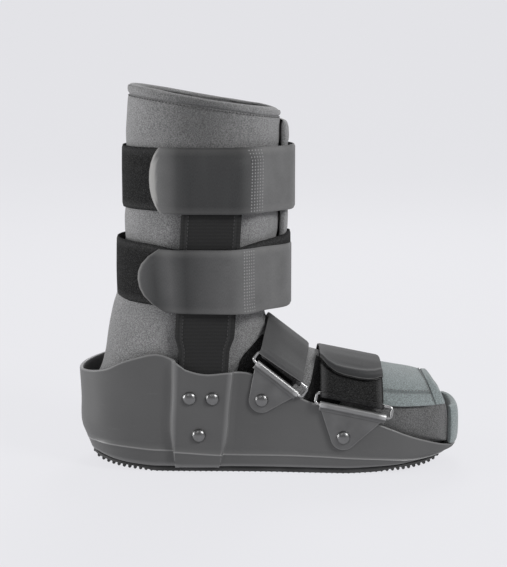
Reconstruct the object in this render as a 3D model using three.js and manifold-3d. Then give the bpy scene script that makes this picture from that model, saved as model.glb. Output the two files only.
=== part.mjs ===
// Medical walking boot: a moulded shell on a ribbed rubber sole, two riveted uprights in woven
// sleeves, a padded bootie, two calf straps and two foot straps that run through wire rings.
// X runs from heel to toe, Y from the outer side to the inner side, Z up. Millimetres.
// The origin is on the floor, in the middle of the boot's length and width.

import * as THREE from 'three';
import Module from 'manifold-3d';
import { mergeVertices } from 'three/addons/utils/BufferGeometryUtils.js';

const wasm = await Module();
wasm.setup();

// Overall sizes
const BOOT_LENGTH = 305; // heel of the shell to the front of the toe bumper
const BOOT_HEIGHT = 302.6; // floor to the back of the cuff
const BUMPER_PROUD = 2.2; // the toe bumper stands this far past the shell
const SHELL_LENGTH = BOOT_LENGTH - BUMPER_PROUD;
const SOLE_WIDTH = 110; // shell at the ball of the foot
const RIM_HEIGHT = 94.5; // highest place of the shell's rim, at the heel wings
const CUFF_WIDTH = 108; // bootie at the calf, outside

// Clearance between neighbouring pieces
const GAP = 0.3;

// Shell and sole
const SHELL_WALL = 3;
const WALL_LEAN = 0.8; // the wall's foot lies this far inside the band
const FOOT_BED = 13.5; // inner floor above the ground
const BASE_MIN = 3; // thinnest place of the shell's base
const HEEL_ROUND = 46; // length of the rounded end in plan
const TOE_ROUND = 50;
const ROUND_POWER = 2.2;
const SOLE_THICKNESS = 4.7;
const TREAD_PITCH = 10;
const TREAD_DEPTH = 2.2;
const HEEL_ROCKER = 7.5; // rise of the sole at its ends
const TOE_ROCKER = 5.5;
const SOLE_FLAT_START = -91;
const SOLE_FLAT_END = 60;
const SOLE_HEEL_INSET = 11; // the sole ends this far inside the shell
const SOLE_TOE_INSET = 13;
const SOLE_SIDE_INSET = 4;

// Uprights, their channels in the shell and their woven sleeves
const CHANNEL_HALF = 52.4; // middle of the boot to the channel's outer face
const CHANNEL_WIDTH = 46.6;
const CHANNEL_TAPER = 4; // narrower by this at the floor
const CHANNEL_RUN = 3; // length of the slanted flank in plan
const STRUT_FOOT_X = -57.2;
const STRUT_LEAN = 0.062; // forward for each millimetre up
const STRUT_WIDTH = 34;
const STRUT_THICKNESS = 2.5;
const STRUT_BOTTOM = 20;
const STRUT_TOP = 238;
const SLEEVE_WALL = 1;
const SLEEVE_BOTTOM = 70;
const SLEEVE_TOP = 246;
const SLEEVE_WIDTH = 46;
const SLEEVE_NECK = 39.5; // where it runs down inside the channel

// Rivets
const RIVET_HEAD = 10.5;
const RIVET_DOME = 2.8;
const RIVET_SHANK = 4;
const RIVET_TAIL = 6.4;
const RIVET_TAIL_HEIGHT = 1.2;
const RIVET_SIDES = 8;

// Strap brackets and rings
const PLATE_THICKNESS = 1.5;
const BARREL_RADIUS = 2.5;
const WIRE_RADIUS = 1.2;
const RING_HEIGHT = 8.5; // barrel axis to the wire that holds the strap
const RING_TILT = 0.26; // leans in over the foot, radians
const RING_CORNER = 2.4;
const RING_SIDE_ROOM = 3.6; // centred strap's edge to the ring's side
const STRAP_BACK = 2.4; // a foot strap lies this far behind its ring's middle

// Padding and webbing
const LINER_WALL = 8;
const LINER_SIDE_ROOM = 2.3; // shell wall to the bootie
const FRONT_FLAP_THICKNESS = 7;
const TOE_FLAP_THICKNESS = 6.5;
const BUMPER_THICKNESS = 9.5;
const BUMPER_HEIGHT = 48.5;
const BUMPER_WIDTH = 62;
const BUMPER_REACH = 13; // how far its ends lie behind its front
const PILE_WIDTH = 48; // soft loop strap at the calf
const PILE_THICKNESS = 1.6;
const STRAP_WIDTH = 50; // smooth strap
const STRAP_THICKNESS = 1.8;

// Materials
const plastic = (color) => new THREE.MeshStandardMaterial({ color, roughness: 0.5, metalness: 0 });
const fabric = (color) => new THREE.MeshStandardMaterial({ color, roughness: 0.95, metalness: 0 });
const metal = (color) => new THREE.MeshStandardMaterial({ color, roughness: 0.35, metalness: 0.8 });
const MATERIALS = {
  shell: plastic(0x5a5b5c),
  sole: new THREE.MeshStandardMaterial({ color: 0x3a3b3c, roughness: 0.85, metalness: 0 }),
  steel: metal(0x8a8c8e),
  painted: metal(0x6a6d6e),
  padding: fabric(0x7d8080),
  woven: fabric(0x26282a),
  pile: fabric(0x1d1e20),
  strap: fabric(0x37393b),
};

// Shares of the shell's length from the heel, and of the named size in each column's title
const SHELL_PLAN = [
  { at: 0.0, half: 0.84 },
  { at: 0.1, half: 0.84 },
  { at: 0.2, half: 0.855 },
  { at: 0.26, half: 0.87 },
  { at: 0.4, half: 0.885 },
  { at: 0.5, half: 0.905 },
  { at: 0.6, half: 0.95 },
  { at: 0.7, half: 0.99 },
  { at: 0.78, half: 1.0 },
  { at: 0.84, half: 0.975 },
  { at: 0.9, half: 0.9 },
  { at: 1.0, half: 0.8 },
];
const SHELL_RIM = [
  { at: 0.0, height: 0.812 },
  { at: 0.083, height: 0.867 },
  { at: 0.121, height: 0.926 },
  { at: 0.171, height: 0.976 },
  { at: 0.217, height: 1.0 },
  { at: 0.262, height: 0.943 },
  { at: 0.286, height: 0.884 },
  { at: 0.338, height: 0.842 },
  { at: 0.4, height: 0.856 },
  { at: 0.452, height: 0.847 },
  { at: 0.52, height: 0.746 },
  { at: 0.593, height: 0.629 },
  { at: 0.702, height: 0.513 },
  { at: 0.788, height: 0.422 },
  { at: 0.88, height: 0.302 },
  { at: 0.92, height: 0.254 },
  { at: 0.959, height: 0.206 },
  { at: 1.0, height: 0.162 },
];
// Height of the raised band over the shell's lower edge, as a share of the foot bed's height
const SHELL_BAND = [
  { at: 0.0, height: 0.6 },
  { at: 0.11, height: 0.9 },
  { at: 0.18, height: 0.96 },
  { at: 0.25, height: 0.93 },
  { at: 0.385, height: 0.73 },
  { at: 0.58, height: 0.7 },
  { at: 0.7, height: 0.6 },
  { at: 0.8, height: 0.38 },
  { at: 0.89, height: 0.13 },
  { at: 1.0, height: 0.06 },
];

// Sections of the bootie from the cuff down to the ankle: the front and the back edge as shares
// of the boot's length from the heel and of its height, and the half width as a share of the cuff's
const SHAFT_SECTIONS = [
  { frontX: 0.526, frontZ: 0.931, backX: 0.138, backZ: 1.0, half: 1.0 },
  { frontX: 0.528, frontZ: 0.853, backX: 0.1295, backZ: 0.886, half: 0.99 },
  { frontX: 0.527, frontZ: 0.767, backX: 0.1236, backZ: 0.78, half: 0.97 },
  { frontX: 0.526, frontZ: 0.677, backX: 0.1226, backZ: 0.677, half: 0.945 },
  { frontX: 0.523, frontZ: 0.601, backX: 0.1213, backZ: 0.595, half: 0.915 },
  { frontX: 0.513, frontZ: 0.522, backX: 0.108, backZ: 0.512, half: 0.875 },
  { frontX: 0.497, frontZ: 0.456, backX: 0.092, backZ: 0.43, half: 0.82 },
  { frontX: 0.487, frontZ: 0.403, backX: 0.0705, backZ: 0.346, half: 0.775 },
];
// Sections round the heel and along the foot: the edge on the instep, and the edge on the heel or
// the foot bed, with its lift over the bed. Their half width follows the shell.
const FOOT_SECTIONS = [
  { frontX: 0.5016, frontZ: 0.37, backX: 0.0426, lift: 0.2215 },
  { frontX: 0.526, frontZ: 0.347, backX: 0.0197, lift: 0.144 },
  { frontX: 0.5525, frontZ: 0.327, backX: 0.0225, lift: 0.0695 },
  { frontX: 0.5787, frontZ: 0.307, backX: 0.058, lift: 0.004 },
  { frontX: 0.6115, frontZ: 0.296, backX: 0.1885, lift: 0 },
  { frontX: 0.6475, frontZ: 0.284, backX: 0.369, lift: 0 },
  { frontX: 0.69, frontZ: 0.2627, backX: 0.533, lift: 0 },
  { frontX: 0.7426, frontZ: 0.2445, backX: 0.697, lift: 0 },
  { frontX: 0.8213, frontZ: 0.2297, backX: 0.8213, lift: 0 },
  { frontX: 0.8738, frontZ: 0.223, backX: 0.903, lift: 0 },
  { frontX: 0.913, frontZ: 0.2148, backX: 0.957, lift: 0.004 },
];
const LINER_SIDES = 26;
const FOOT_START = SHAFT_SECTIONS.length;
const TOE_SECTION = FOOT_START + FOOT_SECTIONS.length - 1;

// Calf straps: middle height of the soft strap and of the smooth strap as shares of the boot's
// height, and in degrees the rounded tab's tip on the outer side, how far the tab's corners lie
// back, and the end on the inner side
const CALF_STRAPS = [
  { name: 'upper', pileZ: 0.76, smoothZ: 0.758, tip: -130, round: 8, end: 150 },
  { name: 'lower', pileZ: 0.522, smoothZ: 0.5025, tip: -137, round: 20, end: 150 },
];
// Foot straps: middle of the bracket's rolled edge and the rivet as shares of the boot's length from
// the heel and of the rim's height, the slope in radians, the width as a share of the calf strap's,
// and the free end's height over the ring's wire as a share of the width
const FOOT_STRAPS = [
  {
    name: 'instep',
    barX: 0.5184,
    barZ: 0.8116,
    rivetX: 0.4787,
    rivetZ: 0.6243,
    slope: 0.66,
    lean: 0.34,
    width: 0.76,
    free: 0.092,
  },
  {
    name: 'forefoot',
    barX: 0.7095,
    barZ: 0.5513,
    rivetX: 0.6866,
    rivetZ: 0.3228,
    slope: 0.2,
    lean: 0.04,
    width: 1,
    free: 0.26,
  },
];
// Rivets of each upright: ahead of its middle as a share of its width, and share of the rim's height
const STRUT_RIVETS = [
  { ahead: -0.26, z: 0.642 },
  { ahead: 0.26, z: 0.638 },
  { ahead: 0, z: 0.33 },
];

const HEEL_X = -BOOT_LENGTH / 2;
const shellX = (at) => HEEL_X + at * SHELL_LENGTH;
const shellAt = (x) => (x - HEEL_X) / SHELL_LENGTH;
const bootX = (share) => HEEL_X + share * BOOT_LENGTH;

// The foot straps' table in millimetres
const footStraps = FOOT_STRAPS.map((row) => ({
  ...row,
  barX: bootX(row.barX),
  barZ: row.barZ * RIM_HEIGHT,
  rivetX: bootX(row.rivetX),
  rivetZ: row.rivetZ * RIM_HEIGHT,
  width: row.width * STRAP_WIDTH,
  free: row.free * row.width * STRAP_WIDTH,
}));

// Smooth value of one column of a table at a given place
function curve(table, key, at, place = (row) => row.at) {
  let i = 0;
  while (i < table.length - 2 && at > place(table[i + 1])) i += 1;
  const here = place(table[i]);
  const next = place(table[i + 1]);
  const t = Math.min(1, Math.max(0, (at - here) / (next - here)));
  const slope = (k) => {
    const a = Math.max(0, k - 1);
    const b = Math.min(table.length - 1, k + 1);
    return (table[b][key] - table[a][key]) / (place(table[b]) - place(table[a]));
  };
  const run = next - here;
  const t2 = t * t;
  const t3 = t2 * t;
  const start = (2 * t3 - 3 * t2 + 1) * table[i][key] + (t3 - 2 * t2 + t) * run * slope(i);
  return start + (3 * t2 - 2 * t3) * table[i + 1][key] + (t3 - t2) * run * slope(i + 1);
}

// Shell heights and widths
function rocker(x) {
  if (x < SOLE_FLAT_START) {
    const reach = SOLE_FLAT_START - (HEEL_X + SOLE_HEEL_INSET);
    return HEEL_ROCKER * ((SOLE_FLAT_START - x) / reach) ** 1.2;
  }
  if (x > SOLE_FLAT_END) {
    const reach = shellX(1) - SOLE_TOE_INSET - SOLE_FLAT_END;
    return TOE_ROCKER * ((x - SOLE_FLAT_END) / reach) ** 1.1;
  }
  return 0;
}
const shellBottom = (x) => Math.min(rocker(x), HEEL_ROCKER) + SOLE_THICKNESS + GAP;
const footBed = (x) => Math.max(FOOT_BED, shellBottom(x) + BASE_MIN);
const rimHeight = (x) => RIM_HEIGHT * curve(SHELL_RIM, 'height', shellAt(x));
const bandTop = (x) => shellBottom(x) + FOOT_BED * curve(SHELL_BAND, 'height', shellAt(x));

function roundEnd(distance, length) {
  if (distance >= length) return 1;
  const t = 1 - Math.max(0, distance) / length;
  return (1 - t ** ROUND_POWER) ** (1 / ROUND_POWER);
}
function shellHalf(x) {
  const heel = roundEnd(x - HEEL_X, HEEL_ROUND);
  const toe = roundEnd(shellX(1) - x, TOE_ROUND);
  return (SOLE_WIDTH / 2) * curve(SHELL_PLAN, 'half', shellAt(x)) * heel * toe;
}
const strutX = (z) => STRUT_FOOT_X + STRUT_LEAN * z;
const channelHalfWidth = (z) => (CHANNEL_WIDTH - CHANNEL_TAPER * Math.max(0, 1 - z / RIM_HEIGHT)) / 2;

// A closed solid through rings of equal length. Open ends get a fan, or rungs from side to side;
// a solid that closes on itself has none.
function loft(rings, ends = 'fan') {
  const count = rings[0].length;
  const positions = rings.flat().flatMap((p) => [p[0], p[1], p[2]]);
  const faces = [];
  const joins = ends === 'closed' ? rings.length : rings.length - 1;
  for (let r = 0; r < joins; r += 1) {
    const a = r * count;
    const b = ((r + 1) % rings.length) * count;
    for (let i = 0; i < count; i += 1) {
      const j = (i + 1) % count;
      faces.push(a + i, b + i, b + j, a + i, b + j, a + j);
    }
  }
  const last = (rings.length - 1) * count;
  if (ends === 'fan') {
    [0, rings.length - 1].forEach((r) => {
      const centre = [0, 1, 2].map((k) => rings[r].reduce((sum, p) => sum + p[k], 0) / count);
      const c = positions.length / 3;
      positions.push(...centre);
      for (let i = 0; i < count; i += 1) {
        const j = (i + 1) % count;
        if (r === 0) faces.push(c, i, j);
        else faces.push(c, last + j, last + i);
      }
    });
  }
  if (ends === 'rungs') {
    const half = count / 2;
    for (let i = 0; i < half; i += 1) {
      const near = [i, i + 1];
      const far = [(count - i) % count, count - i - 1];
      if (i > 0) {
        faces.push(near[0], near[1], far[0]);
        faces.push(last + near[0], last + far[0], last + near[1]);
      }
      if (i < half - 1) {
        faces.push(near[1], far[1], far[0]);
        faces.push(last + near[1], last + far[0], last + far[1]);
      }
    }
  }
  return facingOut(positions, faces);
}

// Turns every face round when the solid's volume comes out negative
function facingOut(positions, faces) {
  let volume = 0;
  const at = (i) => new THREE.Vector3(positions[3 * i], positions[3 * i + 1], positions[3 * i + 2]);
  for (let f = 0; f < faces.length; f += 3) {
    volume += at(faces[f]).dot(at(faces[f + 1]).cross(at(faces[f + 2])));
  }
  const index = [];
  for (let f = 0; f < faces.length; f += 3) {
    if (volume > 0) index.push(faces[f], faces[f + 1], faces[f + 2]);
    else index.push(faces[f], faces[f + 2], faces[f + 1]);
  }
  const geometry = new THREE.BufferGeometry();
  geometry.setAttribute('position', new THREE.Float32BufferAttribute(positions, 3));
  geometry.setIndex(index);
  geometry.computeVertexNormals();
  return geometry;
}

// A slab between two grids of points, one over the other
function slab(outer, inner) {
  const rings = outer.map((row, r) => [...row, ...inner[r].slice().reverse()]);
  const count = rings[0].length;
  const positions = rings.flat().flatMap((p) => [p[0], p[1], p[2]]);
  const faces = [];
  for (let r = 0; r < rings.length - 1; r += 1) {
    for (let i = 0; i < count; i += 1) {
      const j = (i + 1) % count;
      const a = r * count;
      const b = a + count;
      faces.push(a + i, b + i, b + j, a + i, b + j, a + j);
    }
  }
  const last = (rings.length - 1) * count;
  for (let i = 0; i < count / 2 - 1; i += 1) {
    const k = count - 1 - i;
    faces.push(i, i + 1, k - 1, i, k - 1, k);
    faces.push(last + i, last + k - 1, last + i + 1, last + i, last + k, last + k - 1);
  }
  return facingOut(positions, faces);
}

// Boolean work
function toSolid(geometry) {
  const bare = geometry.clone();
  bare.deleteAttribute('normal');
  bare.deleteAttribute('uv');
  const merged = mergeVertices(bare, 1e-4);
  return new wasm.Manifold(new wasm.Mesh({
    numProp: 3,
    vertProperties: new Float32Array(merged.attributes.position.array),
    triVerts: new Uint32Array(merged.index.array),
  }));
}
function toGeometry(solid) {
  const mesh = solid.getMesh();
  const geometry = new THREE.BufferGeometry();
  geometry.setAttribute('position', new THREE.Float32BufferAttribute(mesh.vertProperties, 3));
  geometry.setIndex(Array.from(mesh.triVerts));
  geometry.computeVertexNormals();
  return geometry;
}
function cut(geometry, cutters) {
  return toGeometry(cutters.reduce((solid, tool) => solid.subtract(toSolid(tool)), toSolid(geometry)));
}
function mirrored(geometry) {
  const copy = geometry.clone();
  copy.deleteAttribute('normal');
  copy.deleteAttribute('uv');
  const merged = mergeVertices(copy, 1e-4);
  merged.applyMatrix4(new THREE.Matrix4().makeScale(1, -1, 1));
  return facingOut(Array.from(merged.attributes.position.array), Array.from(merged.index.array));
}

// A cylinder between two points
function rod(from, to, radius, sides = 12) {
  const start = new THREE.Vector3(...from);
  const end = new THREE.Vector3(...to);
  const geometry = new THREE.CylinderGeometry(radius, radius, start.distanceTo(end), sides);
  const turn = new THREE.Quaternion().setFromUnitVectors(
    new THREE.Vector3(0, 1, 0),
    end.clone().sub(start).normalize(),
  );
  geometry.applyQuaternion(turn);
  const middle = start.add(end).multiplyScalar(0.5);
  geometry.translate(middle.x, middle.y, middle.z);
  return geometry;
}

// Shell
const END_STEPS = 5;
const MID_SHARES = [0.46, 0.52, 0.58, 0.64, 0.7, 0.76, 0.82];

// Half of the shell's outline in plan at one height, from heel to toe
function shellOutline(z) {
  const points = [];
  const add = (x) => points.push([x, shellHalf(x)]);
  for (let k = 0; k <= END_STEPS; k += 1) {
    add(HEEL_X + HEEL_ROUND * (1 - Math.cos((k / END_STEPS) * (Math.PI / 2))));
  }
  add(shellX(0.2));
  const middle = strutX(z);
  const side = channelHalfWidth(z);
  add(middle - side - CHANNEL_RUN);
  points.push([middle - side, CHANNEL_HALF]);
  points.push([middle, CHANNEL_HALF]);
  points.push([middle + side, CHANNEL_HALF]);
  add(middle + side + CHANNEL_RUN);
  MID_SHARES.forEach((at) => add(shellX(at)));
  for (let k = END_STEPS; k >= 0; k -= 1) {
    add(shellX(1) - TOE_ROUND * (1 - Math.cos((k / END_STEPS) * (Math.PI / 2))));
  }
  return points;
}

// The outline moved in: by one amount along the boot and another across it
function inset(points, along, across) {
  return points.map((point, i) => {
    if (i === 0) return [point[0] + along, 0];
    if (i === points.length - 1) return [point[0] - along, 0];
    const before = new THREE.Vector2(...points[i - 1]);
    const here = new THREE.Vector2(...point);
    const after = new THREE.Vector2(...points[i + 1]);
    const first = here.clone().sub(before).normalize();
    const second = after.clone().sub(here).normalize();
    const normal = first.clone().add(second).normalize();
    const reach = 1 / Math.max(0.6, normal.dot(first));
    return [point[0] + normal.y * along * reach, point[1] - normal.x * across * reach];
  });
}

function makeShell() {
  // Each level: height at x, and how far the outline lies in at the ends and at the sides
  const wallZ = (share) => (x) => bandTop(x) + 1 + share * (rimHeight(x) - bandTop(x) - 2);
  const levels = [
    { z: shellBottom, along: SOLE_HEEL_INSET, across: SOLE_SIDE_INSET },
    { z: (x) => shellBottom(x) + 0.5, along: SOLE_HEEL_INSET - 2.5, across: 1 },
    { z: bandTop, along: 5.5, across: 0 },
    { z: wallZ(0), along: 5, across: WALL_LEAN },
    { z: wallZ(0.2), along: 1, across: 0.8 * WALL_LEAN },
    { z: wallZ(0.6), along: 1, across: 0.4 * WALL_LEAN },
    { z: wallZ(1), along: 0, across: 0 },
    { z: rimHeight, along: SHELL_WALL / 2, across: SHELL_WALL / 2 },
    { z: wallZ(1), along: SHELL_WALL, across: SHELL_WALL },
    { z: wallZ(0.6), along: 1 + SHELL_WALL, across: 0.4 * WALL_LEAN + SHELL_WALL },
    { z: wallZ(0.2), along: 1 + SHELL_WALL, across: 0.8 * WALL_LEAN + SHELL_WALL },
    {
      z: (x) => Math.min(footBed(x), rimHeight(x) - 1.2),
      along: 5 + SHELL_WALL,
      across: WALL_LEAN + SHELL_WALL,
    },
  ];
  const rings = levels.map((level) => {
    const middle = level.z(strutX(RIM_HEIGHT / 2));
    const outline = shellOutline(middle);
    const half = inset(outline, level.along, level.across);
    const near = half.map(([x, y], i) => [x, -y, level.z(outline[i][0])]);
    const far = half.map(([x, y], i) => [x, y, level.z(outline[i][0])]);
    return [...near, ...far.slice(1, -1).reverse()];
  });
  return loft(rings, 'rungs');
}

// Rubber sole: one strip along the boot whose underside steps between lugs and grooves
function makeSole() {
  const start = HEEL_X + SOLE_HEEL_INSET;
  const end = shellX(1) - SOLE_TOE_INSET;
  const lugs = Math.round((end - start) / TREAD_PITCH);
  const pitch = (end - start) / lugs;
  const stations = [];
  for (let i = 0; i < lugs; i += 1) {
    const x = start + i * pitch;
    stations.push([x + 0.02 * pitch, 0], [x + 0.62 * pitch, 0]);
    if (i < lugs - 1) stations.push([x + 0.7 * pitch, TREAD_DEPTH], [x + 0.94 * pitch, TREAD_DEPTH]);
  }
  // The outline narrows as the shell's does, at the same share of its own rounded ends
  const width = (x) => {
    const heel = roundEnd(x - start + 1, HEEL_ROUND - SOLE_HEEL_INSET);
    const toe = roundEnd(end - x + 1, TOE_ROUND - SOLE_TOE_INSET);
    const body = (SOLE_WIDTH / 2) * curve(SHELL_PLAN, 'half', shellAt(x));
    return Math.max(4, (body - SOLE_SIDE_INSET) * heel * toe);
  };
  const rings = stations.map(([x, cutDepth]) => {
    const half = width(x);
    const low = Math.min(rocker(x), HEEL_ROCKER);
    const top = low + SOLE_THICKNESS;
    const edge = SOLE_THICKNESS * 0.4;
    return [
      [x, -half + 1.5, low + cutDepth],
      [x, half - 1.5, low + cutDepth],
      [x, half, Math.max(low + edge, low + cutDepth + 0.1)],
      [x, half, top],
      [x, -half, top],
      [x, -half, Math.max(low + edge, low + cutDepth + 0.1)],
    ];
  });
  return loft(rings, 'fan');
}

// Bootie: a point at a section, at an angle from its front edge towards the inner side, moved out
const sectionRows = [
  ...SHAFT_SECTIONS.map((row) => ({
    frontX: bootX(row.frontX),
    frontZ: row.frontZ * BOOT_HEIGHT,
    backX: bootX(row.backX),
    backZ: row.backZ * BOOT_HEIGHT,
    half: (row.half * CUFF_WIDTH) / 2,
  })),
  ...FOOT_SECTIONS.map((row) => {
    const frontX = bootX(row.frontX);
    const backX = bootX(row.backX);
    return {
      frontX,
      frontZ: row.frontZ * BOOT_HEIGHT,
      backX,
      backZ: footBed(backX) + GAP + row.lift * BOOT_HEIGHT,
      half: shellHalf((frontX + backX) / 2) - SHELL_WALL - LINER_SIDE_ROOM,
    };
  }),
].map((row, number) => ({ ...row, number }));
const sectionValue = (key, s) => curve(sectionRows, key, s, (row) => row.number);

function linerPoint(s, angle, out) {
  const front = new THREE.Vector2(sectionValue('frontX', s), sectionValue('frontZ', s));
  const back = new THREE.Vector2(sectionValue('backX', s), sectionValue('backZ', s));
  const middle = front.clone().add(back).multiplyScalar(0.5);
  const reach = front.distanceTo(back) / 2 + out;
  const along = front.clone().sub(back).normalize();
  const half = sectionValue('half', s) + out;
  // The foot's lower half is squarer than its top
  const onFoot = Math.min(1, Math.max(0, (s - FOOT_START - 2) / 2));
  const power = Math.cos(angle) < 0 ? 2.15 + 1.1 * onFoot : 2.15;
  const c = Math.sign(Math.cos(angle)) * Math.abs(Math.cos(angle)) ** (2 / power);
  const d = Math.sign(Math.sin(angle)) * Math.abs(Math.sin(angle)) ** (2 / power);
  return [middle.x + along.x * reach * c, half * d, middle.y + along.y * reach * c];
}
function linerRing(s, out) {
  return Array.from({ length: LINER_SIDES }, (_, i) => {
    return linerPoint(s, (i / LINER_SIDES) * 2 * Math.PI, out);
  });
}
function makeLiner() {
  const outer = sectionRows.map((row) => linerRing(row.number, 0));
  const inner = sectionRows.map((row) => linerRing(row.number, -LINER_WALL)).reverse();
  return loft([...outer, ...inner], 'closed');
}

// The same, on the flat facets between the sections
function facetPoint(s, angle, out) {
  const row = Math.min(TOE_SECTION - 1, Math.floor(s));
  const t = Math.min(1, s - row);
  const here = linerPoint(row, angle, out);
  const next = linerPoint(row + 1, angle, out);
  return here.map((value, k) => value + (next[k] - value) * t);
}
const range = (from, to, steps) => {
  return Array.from({ length: steps + 1 }, (_, i) => from + ((to - from) * i) / steps);
};
const degrees = (angle) => (angle * Math.PI) / 180;
const SIDE_ANGLE = (2 * Math.PI) / LINER_SIDES;

// A padded flap over the bootie at some of its sections and corners, thinner towards its sides
function linerFlap(sections, corners, thickness, thinning, shape = (point) => point) {
  const grid = (out) => sections.map((s) => corners.map((corner) => {
    const angle = corner * SIDE_ANGLE;
    const thin = 1 - thinning * Math.abs(Math.sin(angle)) ** 3;
    return shape(facetPoint(s, angle, GAP + out * thin), s, angle);
  }));
  return slab(grid(thickness), grid(0));
}
function makeFrontFlap() {
  const sections = [0.35, ...range(1, FOOT_START - 2, FOOT_START - 3), FOOT_START - 1.6];
  return linerFlap(sections, range(-1, 4, 5), FRONT_FLAP_THICKNESS, 0.3);
}
function makeToeFlap() {
  // Past the last section the flap's sides reach forward and close in round the toe
  const sections = [TOE_SECTION - 3.4, ...range(TOE_SECTION - 3, TOE_SECTION + 1, 4)];
  return linerFlap(sections, range(-5, 5, 10), TOE_FLAP_THICKNESS, 0.35, (point, s, angle) => {
    const past = Math.max(0, s - TOE_SECTION);
    const side = Math.abs(Math.sin(angle)) ** 1.5;
    return [point[0] + past * (1 + 10 * side), point[1] * (1 - 0.17 * past * side), point[2]];
  });
}
function makeToeBumper() {
  // Crown of the padded wall at each share of its height
  const crowns = [
    { up: 0, out: -0.55 },
    { up: 0.12, out: -0.1 },
    { up: 0.35, out: 0.75 },
    { up: 0.65, out: 0.9 },
    { up: 0.88, out: 0.3 },
    { up: 1, out: -0.5 },
  ];
  const front = BOOT_LENGTH / 2;
  const crownSize = BUMPER_THICKNESS * 0.3;
  const turns = range(degrees(-80), degrees(80), 10);
  const wall = (crown, inside) => turns.map((turn) => {
    const grow = (crown.out - 0.9) * crownSize - inside;
    const c = Math.cos(turn) ** 0.8;
    const d = Math.sign(turn) * Math.abs(Math.sin(turn)) ** 0.9;
    const x = front - BUMPER_REACH + Math.max(1, BUMPER_REACH + grow) * c;
    const bottom = Math.max(footBed(x), rimHeight(x)) + GAP;
    return [x, (BUMPER_WIDTH / 2 + grow) * d, bottom + crown.up * (BUMPER_HEIGHT - bottom)];
  });
  const outer = crowns.map((crown) => wall(crown, 0));
  const inner = crowns.map((crown) => wall({ up: crown.up, out: 0 }, BUMPER_THICKNESS * 0.7));
  return slab(outer, inner);
}

// Uprights and sleeves
function shaftHalf(z) {
  const rows = SHAFT_SECTIONS.map((_, i) => sectionRows[i]);
  const heights = rows.map((row) => ({ at: -(row.frontZ + row.backZ) / 2, half: row.half }));
  return curve(heights, 'half', -z);
}
const LOW_STRUT_INNER = CHANNEL_HALF - SHELL_WALL - 2 * GAP - SLEEVE_WALL - STRUT_THICKNESS - GAP;
function strutInner(z) {
  return Math.max(LOW_STRUT_INNER, shaftHalf(z) + 2 * GAP + SLEEVE_WALL + GAP);
}
const sleeveLevels = range(SLEEVE_BOTTOM, SLEEVE_TOP, 11);

function makeStrut() {
  const heights = [STRUT_BOTTOM, ...sleeveLevels.filter((z) => z < STRUT_TOP - 1), STRUT_TOP];
  const face = (out) => heights.map((z) => {
    return [-1, 1].map((side) => [strutX(z) + (side * STRUT_WIDTH) / 2, -strutInner(z) - out, z]);
  });
  return slab(face(STRUT_THICKNESS), face(0));
}
function sleeveHalf(z) {
  const t = Math.min(1, Math.max(0, (z - RIM_HEIGHT - 1) / 14));
  return (SLEEVE_NECK + (SLEEVE_WIDTH - SLEEVE_NECK) * t) / 2;
}
function makeSleeve() {
  const ring = (z, shrink) => {
    const x = strutX(z);
    const half = sleeveHalf(z) - shrink;
    const low = -strutInner(z) + GAP + SLEEVE_WALL - shrink;
    const high = -strutInner(z) - STRUT_THICKNESS - GAP - SLEEVE_WALL + shrink;
    const mid = (low + high) / 2;
    return [
      [x - half + 1.2, high, z],
      [x + half - 1.2, high, z],
      [x + half, mid, z],
      [x + half - 1.2, low, z],
      [x - half + 1.2, low, z],
      [x - half, mid, z],
    ];
  };
  const top = STRUT_TOP + GAP;
  const outer = sleeveLevels.slice().reverse().map((z) => ring(z, 0));
  const inner = [...sleeveLevels.filter((z) => z < top - 1), top].map((z) => ring(z, SLEEVE_WALL));
  return loft([...outer, ...inner], 'fan');
}

// Rivets: domed head outside, shank, and a flat tail inside
function makeRivet(grip) {
  const head = RIVET_HEAD / 2;
  const profile = [[0, RIVET_DOME]];
  profile.push([head * Math.sin(degrees(50)), RIVET_DOME * Math.cos(degrees(50))]);
  profile.push([head, 0], [RIVET_SHANK / 2, 0], [RIVET_SHANK / 2, -grip]);
  profile.push([RIVET_TAIL / 2, -grip], [RIVET_TAIL / 2, -grip - RIVET_TAIL_HEIGHT]);
  profile.push([0, -grip - RIVET_TAIL_HEIGHT]);
  const points = profile.map(([r, y]) => new THREE.Vector2(r, y)).reverse();
  const turned = new THREE.LatheGeometry(points, RIVET_SIDES);
  turned.deleteAttribute('uv');
  turned.deleteAttribute('normal');
  const merged = mergeVertices(turned, 1e-4);
  const faces = [];
  const index = merged.index.array;
  for (let f = 0; f < index.length; f += 3) {
    const [a, b, c] = [index[f], index[f + 1], index[f + 2]];
    if (a !== b && b !== c && a !== c) faces.push(a, b, c);
  }
  return facingOut(Array.from(merged.attributes.position.array), faces);
}
function placeRivet(geometry, x, y, z, yaw) {
  const placed = geometry.clone();
  placed.rotateZ(Math.PI);
  placed.rotateZ(yaw);
  placed.translate(x, y, z);
  return placed;
}

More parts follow.
